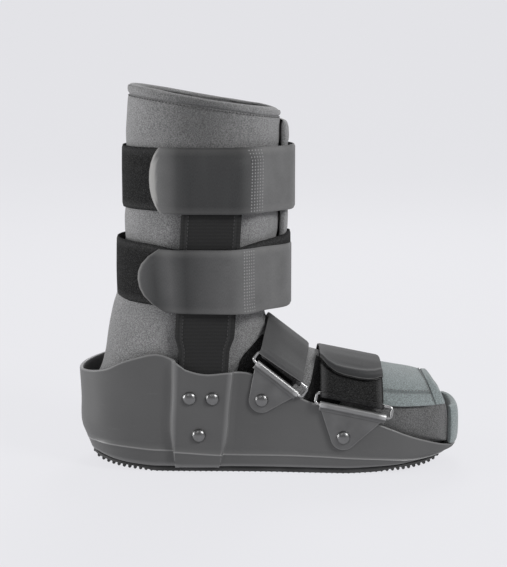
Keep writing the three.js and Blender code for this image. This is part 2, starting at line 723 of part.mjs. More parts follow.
// Flat points: hull, outline moved out, and a ribbon of even thickness along a path
function hull(points) {
  const sorted = points.slice().sort((a, b) => a[0] - b[0] || a[1] - b[1]);
  const turn = (o, a, b) => (a[0] - o[0]) * (b[1] - o[1]) - (a[1] - o[1]) * (b[0] - o[0]);
  const chain = (list) => {
    const out = [];
    list.forEach((p) => {
      while (out.length > 1 && turn(out[out.length - 2], out[out.length - 1], p) <= 1e-9) out.pop();
      out.push(p);
    });
    return out.slice(0, -1);
  };
  return [...chain(sorted), ...chain(sorted.slice().reverse())];
}
function slice(geometries, origin, across, up) {
  // Points where the pieces' edges cross the plane through origin spanned by across and up
  const normal = across.clone().cross(up);
  const found = [];
  geometries.forEach((geometry) => {
    const position = geometry.attributes.position;
    const index = geometry.index.array;
    const corner = (i) => new THREE.Vector3().fromBufferAttribute(position, i).sub(origin);
    for (let f = 0; f < index.length; f += 3) {
      for (let e = 0; e < 3; e += 1) {
        const a = corner(index[f + e]);
        const b = corner(index[f + ((e + 1) % 3)]);
        const da = a.dot(normal);
        const db = b.dot(normal);
        if (da * db < 0) {
          const p = a.lerp(b, da / (da - db));
          found.push([p.dot(across), p.dot(up)]);
        }
      }
    }
  });
  return found;
}
function ray(outline, centre, angle) {
  // Distance from the centre to a convex outline
  const direction = [Math.cos(angle), Math.sin(angle)];
  let reach = 0;
  outline.forEach((a, i) => {
    const b = outline[(i + 1) % outline.length];
    const edge = [b[0] - a[0], b[1] - a[1]];
    const cross = direction[0] * edge[1] - direction[1] * edge[0];
    const to = [a[0] - centre[0], a[1] - centre[1]];
    if (Math.abs(cross) < 1e-9) return;
    const t = (to[0] * edge[1] - to[1] * edge[0]) / cross;
    const u = (to[0] * direction[1] - to[1] * direction[0]) / cross;
    if (t > 0 && u >= -1e-6 && u <= 1 + 1e-6) reach = Math.max(reach, t);
  });
  return reach;
}

// Calf straps
function strapWrap(under, z, spread, turns) {
  // Hull of everything under the strap between this height and half way to the next ones
  const across = new THREE.Vector3(1, 0, 0);
  const up = new THREE.Vector3(0, 1, 0);
  const points = range(-spread, spread, 4).flatMap((lift) => {
    return slice(under, new THREE.Vector3(0, 0, z + lift), across, up);
  });
  const outline = hull(points);
  const xs = outline.map((p) => p[0]);
  const centre = [(Math.min(...xs) + Math.max(...xs)) / 2, 0];
  const reach = turns.map((turn) => ray(outline, centre, turn));
  // A chord that would cut a corner of the hull is moved out until it clears the corner
  const push = turns.map(() => 1);
  outline.forEach(([x, y]) => {
    const angle = Math.atan2(y - centre[1], x - centre[0]);
    turns.forEach((from, i) => {
      const j = (i + 1) % turns.length;
      const width = (turns[j] - from + 4 * Math.PI) % (2 * Math.PI);
      const into = (angle - from + 4 * Math.PI) % (2 * Math.PI);
      if (into > width || width > 1) return;
      const far = Math.hypot(x - centre[0], y - centre[1]);
      const chord = (reach[i] * reach[j] * Math.sin(width))
        / (reach[i] * Math.sin(into) + reach[j] * Math.sin(width - into));
      push[i] = Math.max(push[i], far / chord);
      push[j] = Math.max(push[j], far / chord);
    });
  });
  reach.forEach((distance, i) => {
    reach[i] = distance * push[i];
  });
  const last = turns.length - 1;
  return (i, out) => {
    // Thickness is measured square to the outline, not along the ray
    const before = Math.max(0, i - 1);
    const after = Math.min(last, i + 1);
    const slant = Math.atan2(reach[after] - reach[before], reach[i] * (turns[after] - turns[before]));
    const far = reach[i] + out / Math.cos(slant);
    return [centre[0] + far * Math.cos(turns[i]), far * Math.sin(turns[i]), z];
  };
}
const PILE_SIDES = 40;
const SMOOTH_STEPS = 30;

function makePileBand(under, strap) {
  const turns = range(0, 2 * Math.PI, PILE_SIDES).slice(0, -1);
  const middle = strap.pileZ * BOOT_HEIGHT;
  const heights = range(middle - PILE_WIDTH / 2, middle + PILE_WIDTH / 2, 2);
  const spread = (heights[1] - heights[0]) / 2;
  const wraps = heights.map((z) => strapWrap(under, z, spread, turns));
  const face = (out) => wraps.map((wrap) => turns.map((_, i) => wrap(i, out)));
  return loft([...face(GAP + PILE_THICKNESS), ...face(GAP).reverse()], 'closed');
}
function makeSmoothBand(under, strap) {
  const middle = strap.smoothZ * BOOT_HEIGHT;
  const heights = range(middle - STRAP_WIDTH / 2, middle + STRAP_WIDTH / 2, 3);
  const spread = heights[1] - heights[0];
  const end = degrees(strap.end);
  const wraps = heights.map((z, row) => {
    const across = (2 * row) / (heights.length - 1) - 1;
    const corner = degrees(strap.round) * Math.abs(across) ** 2.4;
    const turns = range(degrees(strap.tip), end, SMOOTH_STEPS);
    return strapWrap(under, z, spread, turns.map((turn, i) => turn + corner * Math.max(0, 1 - i / 5)));
  });
  const face = (out) => wraps.map((wrap) => range(0, SMOOTH_STEPS, SMOOTH_STEPS).map((i) => wrap(i, out)));
  return slab(face(1.5 * GAP + STRAP_THICKNESS), face(1.5 * GAP));
}

// Foot straps: brackets and rings are worked out on the outer side and mirrored
function wallLine(from, to) {
  // Straight line beside the shell's wall between two places, and its direction
  const xs = range(from, to, 8);
  const a = new THREE.Vector2(from, shellHalf(from));
  const b = new THREE.Vector2(to, shellHalf(to));
  const direction = b.clone().sub(a).normalize();
  const proud = xs.map((x) => {
    const p = new THREE.Vector2(x, shellHalf(x)).sub(a);
    return p.y * direction.x - p.x * direction.y;
  });
  const shift = Math.max(0, ...proud) + GAP;
  const yaw = Math.atan2(direction.y, direction.x);
  return { yaw, y: (x) => a.y + (x - from) * Math.tan(yaw) + shift / Math.cos(yaw) };
}

function strapFrame(strap) {
  const half = strap.width / 2 + RING_SIDE_ROOM + WIRE_RADIUS;
  const line = wallLine(strap.barX - half, strap.barX + half);
  const along = new THREE.Vector3(Math.cos(strap.slope), 0, -Math.sin(strap.slope));
  along.y = -Math.cos(strap.slope) * Math.tan(line.yaw);
  along.normalize();
  const outward = new THREE.Vector3(-Math.sin(line.yaw), -Math.cos(line.yaw), 0);
  const up = along.clone().cross(outward).normalize();
  if (up.z < 0) up.negate();
  const out = outward.clone().sub(along.clone().multiplyScalar(outward.dot(along))).normalize();
  const bar = new THREE.Vector3(strap.barX, -line.y(strap.barX), strap.barZ);
  bar.addScaledVector(outward, BARREL_RADIUS);
  const lean = up.clone().multiplyScalar(Math.cos(RING_TILT)).addScaledVector(out, -Math.sin(RING_TILT));
  const wire = bar.clone().addScaledVector(lean, RING_HEIGHT);
  return { half, line, along, outward, up, out, bar, lean, wire };
}

function makeBracket(strap) {
  const frame = strapFrame(strap);
  const rivet = [strap.rivetX, -frame.line.y(strap.rivetX), strap.rivetZ];
  // The plate's outline in the wall's plane: x along the wall and z up, from the rolled edge down
  const shape = new THREE.Shape();
  const tilt = (share) => {
    const x = strap.barX + share * (frame.half - 3) * Math.cos(strap.slope);
    return [x / Math.cos(frame.line.yaw), strap.barZ - share * (frame.half - 3) * Math.sin(strap.slope)];
  };
  const eye = RIVET_HEAD * 0.95;
  const [backX, backZ] = tilt(-1);
  const [frontX, frontZ] = tilt(1);
  const eyeX = strap.rivetX / Math.cos(frame.line.yaw);
  const leftAngle = Math.atan2(backZ - strap.rivetZ, backX - eyeX) + Math.acos(eye / Math.hypot(backZ
    - strap.rivetZ, backX - eyeX));
  const rightAngle = Math.atan2(frontZ - strap.rivetZ, frontX - eyeX) - Math.acos(eye
    / Math.hypot(frontZ - strap.rivetZ, frontX - eyeX));
  shape.moveTo(frontX, frontZ);
  shape.lineTo(backX, backZ);
  const sweep = range(leftAngle, rightAngle + 2 * Math.PI, 9);
  sweep.forEach((t) => shape.lineTo(eyeX + eye * Math.cos(t), strap.rivetZ + eye * Math.sin(t)));
  const plate = new THREE.ExtrudeGeometry(shape, { depth: PLATE_THICKNESS, bevelEnabled: false });
  plate.rotateX(Math.PI / 2);
  plate.rotateZ(-frame.line.yaw);
  plate.translate(0, -frame.line.y(0), 0);
  const reach = frame.along.clone().multiplyScalar(frame.half - 2 * WIRE_RADIUS - 1.2);
  const start = frame.bar.clone().sub(reach);
  const end = frame.bar.clone().add(reach);
  const barrel = rod(start.toArray(), end.toArray(), BARREL_RADIUS, 10);
  const far = frame.along.clone().multiplyScalar(2 * frame.half);
  const bore = rod(
    frame.bar.clone().sub(far).toArray(),
    frame.bar.clone().add(far).toArray(),
    WIRE_RADIUS + GAP,
    8,
  );
  const hole = rod(
    [rivet[0] + 20 * frame.outward.x, rivet[1] + 20 * frame.outward.y, rivet[2]],
    [rivet[0] - 20 * frame.outward.x, rivet[1] - 20 * frame.outward.y, rivet[2]],
    RIVET_SHANK / 2 + GAP,
    8,
  );
  const solid = toSolid(plate).add(toSolid(barrel));
  return toGeometry(solid.subtract(toSolid(bore)).subtract(toSolid(hole)));
}

function makeRing(strap) {
  const { half, along, lean, bar } = strapFrame(strap);
  const side = half - RING_CORNER;
  const rise = RING_HEIGHT / 2 - RING_CORNER;
  const centre = bar.clone().addScaledVector(lean, RING_HEIGHT / 2);
  const normal = along.clone().cross(lean).normalize();
  const corners = [[1, 1, 0], [-1, 1, 90], [-1, -1, 180], [1, -1, 270]];
  const rings = corners.flatMap(([sx, sy, start]) => [0, 45, 90].map((turn) => {
    const t = degrees(start + turn);
    const direction = along.clone().multiplyScalar(Math.cos(t)).addScaledVector(lean, Math.sin(t));
    const place = centre.clone()
      .addScaledVector(along, sx * side)
      .addScaledVector(lean, sy * rise)
      .addScaledVector(direction, RING_CORNER);
    return range(0, 360, 6).slice(0, -1).map((angle) => {
      const w = degrees(angle);
      return place.clone()
        .addScaledVector(direction, WIRE_RADIUS * Math.cos(w))
        .addScaledVector(normal, WIRE_RADIUS * Math.sin(w))
        .toArray();
    });
  }));
  return loft(rings, 'closed');
}

// The strap's cross-section lies in the plane of Y and the direction in which the strap climbs
function strapPlane(strap) {
  const frame = strapFrame(strap);
  const wide = new THREE.Vector3(Math.cos(strap.slope), 0, -Math.sin(strap.slope));
  const up = new THREE.Vector3(Math.sin(strap.lean), 0, Math.cos(strap.lean));
  const origin = new THREE.Vector3(frame.wire.x, 0, frame.wire.z);
  const shares = (steps) => range(-0.5, 0.5, steps).map((share) => share - STRAP_BACK / strap.width);
  // The wires spread apart towards the toe, and the strap with them
  const spread = (Math.cos(strap.slope) * Math.tan(frame.line.yaw) * strap.width) / -frame.wire.y;
  return { wide, up, origin, shares, hold: -frame.wire.y, spread };
}
function archOver(under, strap) {
  // Hull of what lies under the strap over its whole width, above the ring's wire
  const { wide, up, origin, shares, hold } = strapPlane(strap);
  const across = new THREE.Vector3(0, 1, 0);
  const points = shares(14).flatMap((share) => {
    return slice(under, origin.clone().addScaledVector(wide, share * strap.width), across, up);
  });
  const bend = WIRE_RADIUS + GAP + PILE_THICKNESS / 2;
  const foot = hold - bend - PILE_THICKNESS / 2 - GAP;
  const above = points.filter((p) => p[1] > 0);
  return hull([...above, [-foot, 0], [foot, 0]]).sort((a, b) => a[0] - b[0]);
}
function resample(points, steps) {
  const lengths = [0];
  points.slice(1).forEach((p, i) => {
    lengths.push(lengths[i] + Math.hypot(p[0] - points[i][0], p[1] - points[i][1]));
  });
  const total = lengths[lengths.length - 1];
  return range(0, total, steps).map((d) => {
    let i = 0;
    while (i < lengths.length - 2 && lengths[i + 1] < d) i += 1;
    const t = (d - lengths[i]) / (lengths[i + 1] - lengths[i]);
    return [0, 1].map((k) => points[i][k] + (points[i + 1][k] - points[i][k]) * t);
  });
}
function moveOut(points, out) {
  // Each point moves square to its path, to the left of the way along it
  return points.map((point, i) => {
    const before = points[Math.max(0, i - 1)];
    const after = points[Math.min(points.length - 1, i + 1)];
    const dx = after[0] - before[0];
    const dy = after[1] - before[1];
    const length = Math.hypot(dx, dy);
    return [point[0] - (dy / length) * out, point[1] + (dx / length) * out];
  });
}
function ribbon(path, thickness, strap) {
  const left = moveOut(path, thickness / 2);
  const right = moveOut(path, -thickness / 2);
  const { wide, up, origin, shares, spread } = strapPlane(strap);
  const grid = (line) => shares(1).map((share) => line.map(([y, n]) => {
    return origin.clone()
      .addScaledVector(wide, share * strap.width)
      .addScaledVector(up, n)
      .add(new THREE.Vector3(0, y * (1 + share * spread), 0))
      .toArray();
  }));
  return slab(grid(left), grid(right));
}
const FOLD_HEIGHT = 1.5; // the soft strap's sewn end beside the ring

function makeFootPile(under, strap) {
  const { hold } = strapPlane(strap);
  const bend = WIRE_RADIUS + GAP + PILE_THICKNESS / 2;
  const fold = (side) => {
    const outside = [side * (hold + bend), FOLD_HEIGHT];
    const turn = range(0, 180, 6).map((angle) => {
      const t = degrees(angle);
      return [side * (hold + bend * Math.cos(t)), -bend * Math.sin(t)];
    });
    return [outside, [side * (hold + bend), FOLD_HEIGHT / 2], ...turn];
  };
  const arch = moveOut(resample(archOver(under, strap), 22), GAP + PILE_THICKNESS / 2);
  const path = [...fold(-1), ...arch.slice(1, -1), ...fold(1).reverse()];
  return ribbon(path, PILE_THICKNESS, strap);
}
function makeFootSmooth(under, strap) {
  const out = GAP + PILE_THICKNESS + GAP + STRAP_THICKNESS / 2;
  const arch = moveOut(resample(archOver(under, strap), 28), out);
  const clear = FOLD_HEIGHT + PILE_THICKNESS;
  return ribbon(arch.filter(([y, n]) => n > (y < 0 ? strap.free : clear)), STRAP_THICKNESS, strap);
}

// Assembly
const boot = new THREE.Group();
boot.name = 'walking_boot';
function addPiece(name, geometry, material) {
  const mesh = new THREE.Mesh(geometry, material);
  mesh.name = name;
  boot.add(mesh);
  return mesh;
}
const SIDES = [
  { side: 'near', turn: (geometry) => geometry },
  { side: 'far', turn: mirrored },
];

const strutRivets = STRUT_RIVETS.map((rivet) => {
  const z = rivet.z * RIM_HEIGHT;
  return { x: strutX(z) + rivet.ahead * STRUT_WIDTH, z };
});
const bracketRivets = footStraps.map((strap) => {
  const frame = strapFrame(strap);
  return { x: strap.rivetX, y: -frame.line.y(strap.rivetX), z: strap.rivetZ, frame };
});
const bore = (x, z, yaw, y) => rod(
  [x - 15 * Math.sin(yaw), y - 15 * Math.cos(yaw), z],
  [x + 15 * Math.sin(yaw), y + 15 * Math.cos(yaw), z],
  RIVET_SHANK / 2 + GAP,
  8,
);
const strutBores = strutRivets.map((rivet) => bore(rivet.x, rivet.z, 0, -CHANNEL_HALF));
const bracketBores = bracketRivets.map((rivet) => bore(rivet.x, rivet.z, rivet.frame.line.yaw, rivet.y));
const nearBores = [...strutBores, ...bracketBores];
const allBores = [...nearBores, ...nearBores.map(mirrored)];

addPiece('shell', cut(makeShell(), allBores), MATERIALS.shell);
addPiece('outsole', makeSole(), MATERIALS.sole);

const liner = makeLiner();
const frontFlap = makeFrontFlap();
const toeFlap = makeToeFlap();
addPiece('liner', liner, MATERIALS.padding);
addPiece('front_flap', frontFlap, MATERIALS.padding);
addPiece('toe_flap', toeFlap, MATERIALS.padding);
addPiece('toe_bumper', makeToeBumper(), MATERIALS.padding);

const strut = cut(makeStrut(), strutBores);
const sleeve = makeSleeve();
const strutGrip = CHANNEL_HALF - LOW_STRUT_INNER + 2 * GAP;
const strutRivet = makeRivet(strutGrip);
SIDES.forEach(({ side, turn }) => {
  addPiece(`strut_${side}`, turn(strut), MATERIALS.steel);
  addPiece(`strut_sleeve_${side}`, turn(sleeve), MATERIALS.woven);
  strutRivets.forEach((rivet, i) => {
    const placed = placeRivet(strutRivet, rivet.x, -CHANNEL_HALF - GAP, rivet.z, 0);
    addPiece(`strut_rivet_${side}_${i + 1}`, turn(placed), MATERIALS.painted);
  });
  footStraps.forEach((strap, i) => {
    const { frame, x, y, z } = bracketRivets[i];
    const proud = PLATE_THICKNESS + GAP;
    const stand = y + shellHalf(x);
    const grip = proud + Math.abs(stand) + WALL_LEAN + SHELL_WALL + GAP;
    const placed = placeRivet(
      makeRivet(grip),
      x + proud * frame.outward.x,
      y + proud * frame.outward.y,
      z,
      -frame.line.yaw,
    );
    addPiece(`${strap.name}_bracket_${side}`, turn(makeBracket(strap)), MATERIALS.painted);
    addPiece(`${strap.name}_ring_${side}`, turn(makeRing(strap)), MATERIALS.steel);
    addPiece(`${strap.name}_rivet_${side}`, turn(placed), MATERIALS.painted);
  });
});

const shaftPieces = [liner, frontFlap, sleeve, mirrored(sleeve)];
CALF_STRAPS.forEach((strap) => {
  const pile = makePileBand(shaftPieces, strap);
  addPiece(`${strap.name}_strap_pile`, pile, MATERIALS.pile);
  const smooth = makeSmoothBand([...shaftPieces, pile], strap);
  addPiece(`${strap.name}_strap_smooth`, smooth, MATERIALS.strap);
});
footStraps.forEach((strap) => {
  const under = [liner, toeFlap];
  addPiece(`${strap.name}_strap_pile`, makeFootPile(under, strap), MATERIALS.pile);
  addPiece(`${strap.name}_strap_smooth`, makeFootSmooth(under, strap), MATERIALS.strap);
});

export default boot;
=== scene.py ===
# %% [markdown]
# # A medical walking boot, dressed in Blender
# The frame holds the boot's solids at their real size, in metres: X runs from heel to toe, Y from
# the outer side to the inner side, Z up. This lesson gives each solid its finish. Hard pieces are
# remade with finer curves on the same sizes, pads are swelled and sewn, and straps are laid on.

# %% Load the frame
import math
from contextlib import contextmanager

import bmesh
import bpy
import numpy as np
from mathutils import Matrix, Vector
from mathutils.bvhtree import BVHTree


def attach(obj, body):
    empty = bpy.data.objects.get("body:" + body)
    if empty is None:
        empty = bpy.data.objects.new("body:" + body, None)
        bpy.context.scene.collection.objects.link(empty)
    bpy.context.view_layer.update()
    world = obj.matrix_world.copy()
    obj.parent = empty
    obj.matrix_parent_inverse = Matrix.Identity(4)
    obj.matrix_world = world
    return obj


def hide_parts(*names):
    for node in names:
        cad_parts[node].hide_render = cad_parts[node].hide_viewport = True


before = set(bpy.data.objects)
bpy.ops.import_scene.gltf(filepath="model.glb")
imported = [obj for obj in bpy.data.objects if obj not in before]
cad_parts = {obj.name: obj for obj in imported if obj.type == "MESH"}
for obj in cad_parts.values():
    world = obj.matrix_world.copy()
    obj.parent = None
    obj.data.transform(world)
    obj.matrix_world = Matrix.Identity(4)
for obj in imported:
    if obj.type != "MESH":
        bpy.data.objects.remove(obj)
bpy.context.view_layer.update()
print("solids in the frame:", len(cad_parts))

# %% [markdown]
# ## Camera
# The photograph looks square at the outer side from a little above. One long lens keeps the
# boot's upright edges nearly parallel, as there. The focal length is worked out from the distance
# and from how many pixels of the picture the boot fills, because the picture has its own size.

# %% Camera
PICTURE_HEIGHT = 567
LENS_IN_PIXELS = 1475
SENSOR = 36.0
CAMERA_DISTANCE = 1.18
CAMERA_RISE = math.radians(9)
LOOK_AT = Vector((-0.0128, 0.0, 0.1425))
FARTHEST_SEEN = 60


def linked(name, data):
    """A new object in the scene."""
    made = bpy.data.objects.new(name, data)
    bpy.context.scene.collection.objects.link(made)
    return made


camera_data = bpy.data.cameras.new("camera")
camera_data.sensor_width = SENSOR
camera_data.lens = LENS_IN_PIXELS * SENSOR / PICTURE_HEIGHT
camera_data.clip_end = FARTHEST_SEEN
camera = linked("camera", camera_data)
back = Vector((0, -math.cos(CAMERA_RISE), math.sin(CAMERA_RISE)))
camera.location = LOOK_AT + back * CAMERA_DISTANCE
camera.rotation_euler = back.to_track_quat("Z", "Y").to_euler()
bpy.context.scene.camera = camera
print("lens in millimetres:", round(camera_data.lens, 2))

# %% [markdown]
# ## A small kit for materials
# A material is a graph of nodes. Written node by node, it is long and hard to read, so one class
# wraps a socket and lets Python's own signs build the Math nodes: `1 - mask * 0.4` is a formula
# that reads like one. Every other node comes from one method.

# %% Sockets that take part in sums
class Value:
    """One output of a node, which can stand in a Python expression."""

    def __init__(self, graph, socket):
        self.graph = graph
        self.socket = socket

    def maths(self, operation, first, second):
        return self.graph.node("ShaderNodeMath", {"operation": operation}, {0: first, 1: second})

    def __add__(self, other):
        return self.maths("ADD", self, other)

    __radd__ = __add__

    def __mul__(self, other):
        return self.maths("MULTIPLY", self, other)

    __rmul__ = __mul__

    def __sub__(self, other):
        return self.maths("SUBTRACT", self, other)

    def __rsub__(self, other):
        return self.maths("SUBTRACT", other, self)

    def least(self, other):
        return self.maths("MINIMUM", self, other)

    def wave(self):
        return self.maths("SINE", self, 0)


# %% The graph of one material
class Finish:
    """A material and its nodes."""

    def __init__(self, name):
        self.material = bpy.data.materials.new(name)
        self.material.use_nodes = True
        self.tree = self.material.node_tree
        self.shader = self.tree.nodes["Principled BSDF"]

    def node(self, kind, settings=None, inputs=None, output=0):
        made = self.tree.nodes.new(kind)
        for key, value in (settings or {}).items():
            if key == "stops":
                self.set_stops(made, value)
            else:
                setattr(made, key, value)
        for key, value in (inputs or {}).items():
            self.feed(made.inputs[key], value)
        return Value(self, made.outputs[output])

    def feed(self, socket, value):
        if isinstance(value, Value):
            self.tree.links.new(value.socket, socket)
        else:
            socket.default_value = value

    def set_stops(self, ramp_node, stops):
        elements = ramp_node.color_ramp.elements
        while len(elements) > 1:
            elements.remove(elements[0])
        elements[0].position = stops[0][0]
        elements[0].color = (*stops[0][1], 1)
        for place, colour in stops[1:]:
            element = elements.new(place)
            element.color = (*colour, 1)

    def set(self, **inputs):
        for key, value in inputs.items():
            self.feed(self.shader.inputs[key.replace("_", " ")], value)

    def place(self):
        return self.node("ShaderNodeTexCoord", output="Object")

    def cloth_place(self):
        return self.node("ShaderNodeUVMap", {"uv_map": "cloth"}, output="UV")

    def painted(self, name):
        return self.node("ShaderNodeAttribute", {"attribute_name": name}, output="Fac")

    def scaled(self, vector, scale):
        return self.node("ShaderNodeMapping", {}, {"Vector": vector, "Scale": scale})

    def noise(self, vector, scale, detail=2.0, rough=0.5):
        inputs = {"Vector": vector, "Scale": scale, "Detail": detail, "Roughness": rough}
        return self.node("ShaderNodeTexNoise", {}, inputs)

    def cells(self, vector, scale):
        inputs = {"Vector": vector, "Scale": scale}
        return self.node("ShaderNodeTexVoronoi", {}, inputs, output="Distance")

    def spread(self, value, low, high, to_low=0.0, to_high=1.0):
        """Brings low to high onto another range and holds it there."""
        inputs = {0: value, 1: low, 2: high, 3: to_low, 4: to_high}
        return self.node("ShaderNodeMapRange", {}, inputs)

    def mix(self, share, first, second):
        inputs = {0: share, 6: first, 7: second}
        return self.node("ShaderNodeMix", {"data_type": "RGBA"}, inputs, output=2)

    def bump(self, height, depth, strength):
        inputs = {"Height": height, "Distance": depth, "Strength": strength}
        return self.node("ShaderNodeBump", {}, inputs)

    def axis(self, vector, name):
        return self.node("ShaderNodeSeparateXYZ", {}, {0: vector}, output=name)


def grey(level, tint=(1, 1, 1)):
    """A linear colour for a grey level of 0 to 255 on the screen."""
    share = level / 255
    linear = share / 12.92 if share < 0.04045 else ((share + 0.055) / 1.055) ** 2.4
    return (linear * tint[0], linear * tint[1], linear * tint[2], 1)


# %% [markdown]
# ## Hard finishes
# The shell is moulded plastic with a fine matt grain, so it shows one broad soft highlight. The
# grain is far too small to model: two noises in a bump node make it. Rims, the band's top edge and
# the ridges are painted lighter, a painted highlight, and are smoother, as if rubbed: a value
# painted on the mesh tells the material where.

# %% Moulded plastic
def make_shell_plastic():
    finish = Finish("shell_plastic")
    place = finish.place()
    broad = finish.noise(place, 14, 3)
    grain = finish.noise(place, 2600, 2, 0.6)
    edge = finish.painted("edge")
    scuff = finish.spread(finish.noise(finish.scaled(place, (60, 60, 500)), 1, 3, 0.7), 0.62, 0.8)
    tone = finish.mix(finish.spread(broad, 0.3, 0.7), grey(74), grey(82))
    # painted highlight: rims, the band's top edge and the ridges are made lighter
    worn = finish.mix((edge * 0.55).least(1), tone, grey(150))
    marked = finish.mix(scuff * 0.12, worn, grey(128))
    speck = finish.mix(finish.spread(grain, 0.35, 0.65, 0, 0.10), marked, grey(40))
    finish.set(
        Base_Color=speck,
        Roughness=0.46 + 0.12 * broad - 0.12 * edge,
        Normal=finish.bump(grain, 0.00008, 0.35),
        Specular_IOR_Level=0.45,
    )
    return finish.material


# %% Rubber
def make_sole_rubber():
    finish = Finish("sole_rubber")
    place = finish.place()
    grain = finish.noise(place, 1500, 3, 0.6)
    dust = finish.noise(place, 40, 4, 0.6)
    tone = finish.mix(finish.spread(dust, 0.4, 0.75), grey(46), grey(66))
    finish.set(
        Base_Color=tone,
        Roughness=0.72 + 0.15 * dust,
        Normal=finish.bump(grain, 0.00015, 0.5),
    )
    return finish.material


# %% [markdown]
# ## Metal
# Brackets are steel under a thin dark grey enamel. On their rolled edges and bevels the enamel is
# worn towards bare metal and painted lighter, a painted highlight. The rings and the rivet heads
# are bare metal, so they mirror the pale floor and the darker sky. Enamel is modelled as half
# metallic with a soft coat, and bare metal as metallic with fine uneven polish.

# %% Enamelled steel and bare metal
def make_enamelled_steel():
    finish = Finish("enamelled_steel")
    place = finish.place()
    broad = finish.noise(place, 90, 3)
    fine = finish.noise(place, 3000, 2)
    edge = finish.painted("edge")
    tone = finish.mix(finish.spread(broad, 0.3, 0.7), grey(86), grey(98))
    finish.set(
        Base_Color=finish.mix((edge * 0.8).least(1), tone, grey(205)),
        Metallic=0.55 + 0.4 * edge,
        Roughness=0.36 + 0.1 * broad,
        Normal=finish.bump(fine, 0.00004, 0.3),
        Coat_Weight=0.25,
        Coat_Roughness=0.25,
    )
    return finish.material


def make_bright_metal(name, dark, light):
    finish = Finish(name)
    place = finish.place()
    broad = finish.noise(place, 220, 3)
    fine = finish.noise(place, 2500, 2)
    finish.set(
        Base_Color=finish.mix(broad, grey(dark), grey(light)),
        Metallic=1.0,
        Roughness=0.24 + 0.14 * broad,
        Normal=finish.bump(fine, 0.00003, 0.3),
    )
    return finish.material


# %% [markdown]
# ## Cloth finishes
# The bootie's cover is a brushed loop cloth: seen close, each loop is a light or a dark fleck, and
# from afar they blend to a heather grey. Cells and two noises at the loops' real size, about half
# a millimetre, give both the flecks and their relief.

# %% Brushed loop cloth
def make_heather(name, dark, light, tint=(1, 1, 1)):
    finish = Finish(name)
    place = finish.place()
    loops = finish.cells(place, 1500)
    fleck = finish.noise(place, 1250, 3, 0.7)
    cloud = finish.noise(place, 26, 4, 0.6)
    shade = finish.painted("shade")
    tone = finish.mix(finish.spread(fleck, 0.41, 0.59), grey(dark, tint), grey(light, tint))
    clouded = finish.mix(finish.spread(cloud, 0.35, 0.7, 0, 0.3), tone, grey(dark, tint))
    darkened = finish.mix(shade, clouded, grey(dark * 0.35, tint))
    finish.set(
        Base_Color=darkened,
        Roughness=0.95,
        Normal=finish.bump(loops + fleck * 1.2, 0.0004, 0.6),
        Sheen_Weight=0.25,
        Sheen_Roughness=0.6,
        Specular_IOR_Level=0.15,
    )
    return finish.material


# %% Loop pile of the soft straps
def make_loop_pile():
    finish = Finish("loop_pile")
    place = finish.place()
    loops = finish.cells(place, 820)
    fleck = finish.noise(place, 1300, 2, 0.7)
    shade = finish.painted("shade")
    tone = finish.mix(finish.spread(fleck, 0.45, 0.72), grey(24), grey(62))
    finish.set(
        Base_Color=finish.mix(shade, tone, grey(120)),
        Roughness=0.97,
        Normal=finish.bump(1 - loops + fleck * 0.6, 0.0006, 0.8),
        Specular_IOR_Level=0.1,
    )
    return finish.material


# %% [markdown]
# The smooth straps are a tight knit fused on foam. It is nearly plain, with a soft shine that
# turns along its bends; the lighter and darker stretches along each strap are painted sheen. Its
# own UV map runs in metres along and across the strap, so that the knit's rows follow the strap
# wherever it goes.

# %% Smooth strap cloth
COOL = (0.97, 1, 1.04)
WARM = (1, 0.985, 0.95)


def make_strap_knit():
    finish = Finish("strap_knit")
    cloth = finish.cloth_place()
    place = finish.place()
    rows = finish.noise(finish.scaled(cloth, (600, 2600, 1)), 1, 2, 0.6)
    streak = finish.noise(finish.scaled(cloth, (9, 60, 1)), 1, 3, 0.55)
    cloud = finish.noise(place, 45, 3, 0.6)
    shade = finish.painted("shade")
    worn = finish.painted("worn")
    row_share = finish.spread(rows, 0.35, 0.65)
    dark = finish.mix(row_share, grey(31, COOL), grey(42, COOL))
    light = finish.mix(row_share, grey(96), grey(108))
    # painted sheen: how far the knit is brought from its dark tone to a lit one
    base = finish.mix(worn, dark, light)
    brushed = finish.mix(finish.spread(streak, 0.35, 0.75, 0, 0.25), base, grey(74))
    clouded = finish.mix(finish.spread(cloud, 0.4, 0.75, 0, 0.25), brushed, grey(48))
    finish.set(
        Base_Color=finish.mix(shade, clouded, grey(170, WARM)),
        Roughness=0.58 + 0.16 * streak,
        Normal=finish.bump(rows, 0.00015, 0.45),
        Sheen_Weight=0.05,
        Sheen_Roughness=0.35,
        Specular_IOR_Level=0.28,
    )
    return finish.material


# %% Woven sleeve cloth
WEFT_PITCH = 0.0011
WARP_PITCH = 0.0016


def make_sleeve_weave():
    finish = Finish("sleeve_weave")
    cloth = finish.cloth_place()
    place = finish.place()
    across = finish.axis(cloth, "X")
    along = finish.axis(cloth, "Y")
    wobble = finish.noise(place, 160, 2) * 1.4
    weft = (along * (2 * math.pi / WEFT_PITCH) + wobble).wave() * 0.5 + 0.5
    warp = (across * (2 * math.pi / WARP_PITCH)).wave() * 0.5 + 0.5
    fleck = finish.noise(finish.scaled(cloth, (2200, 900, 1)), 1, 2, 0.7)
    shade = finish.painted("shade")
    tone = finish.mix(finish.spread(weft * 0.6 + fleck * 0.8, 0.4, 1.1), grey(22), grey(48))
    finish.set(
        Base_Color=finish.mix(shade, tone, grey(84)),
        Roughness=0.86,
        Normal=finish.bump(weft + 0.4 * warp + 0.5 * fleck, 0.0003, 0.6),
        Specular_IOR_Level=0.25,
    )
    return finish.material


# %% Thread and weld marks
def make_thread(name, level, rough):
    finish = Finish(name)
    place = finish.place()
    twist = finish.noise(place, 1800, 2)
    finish.set(
        Base_Color=finish.mix(finish.spread(twist, 0.3, 0.7), grey(level * 0.8), grey(level)),
        Roughness=rough + 0.1 * twist,
    )
    return finish.material


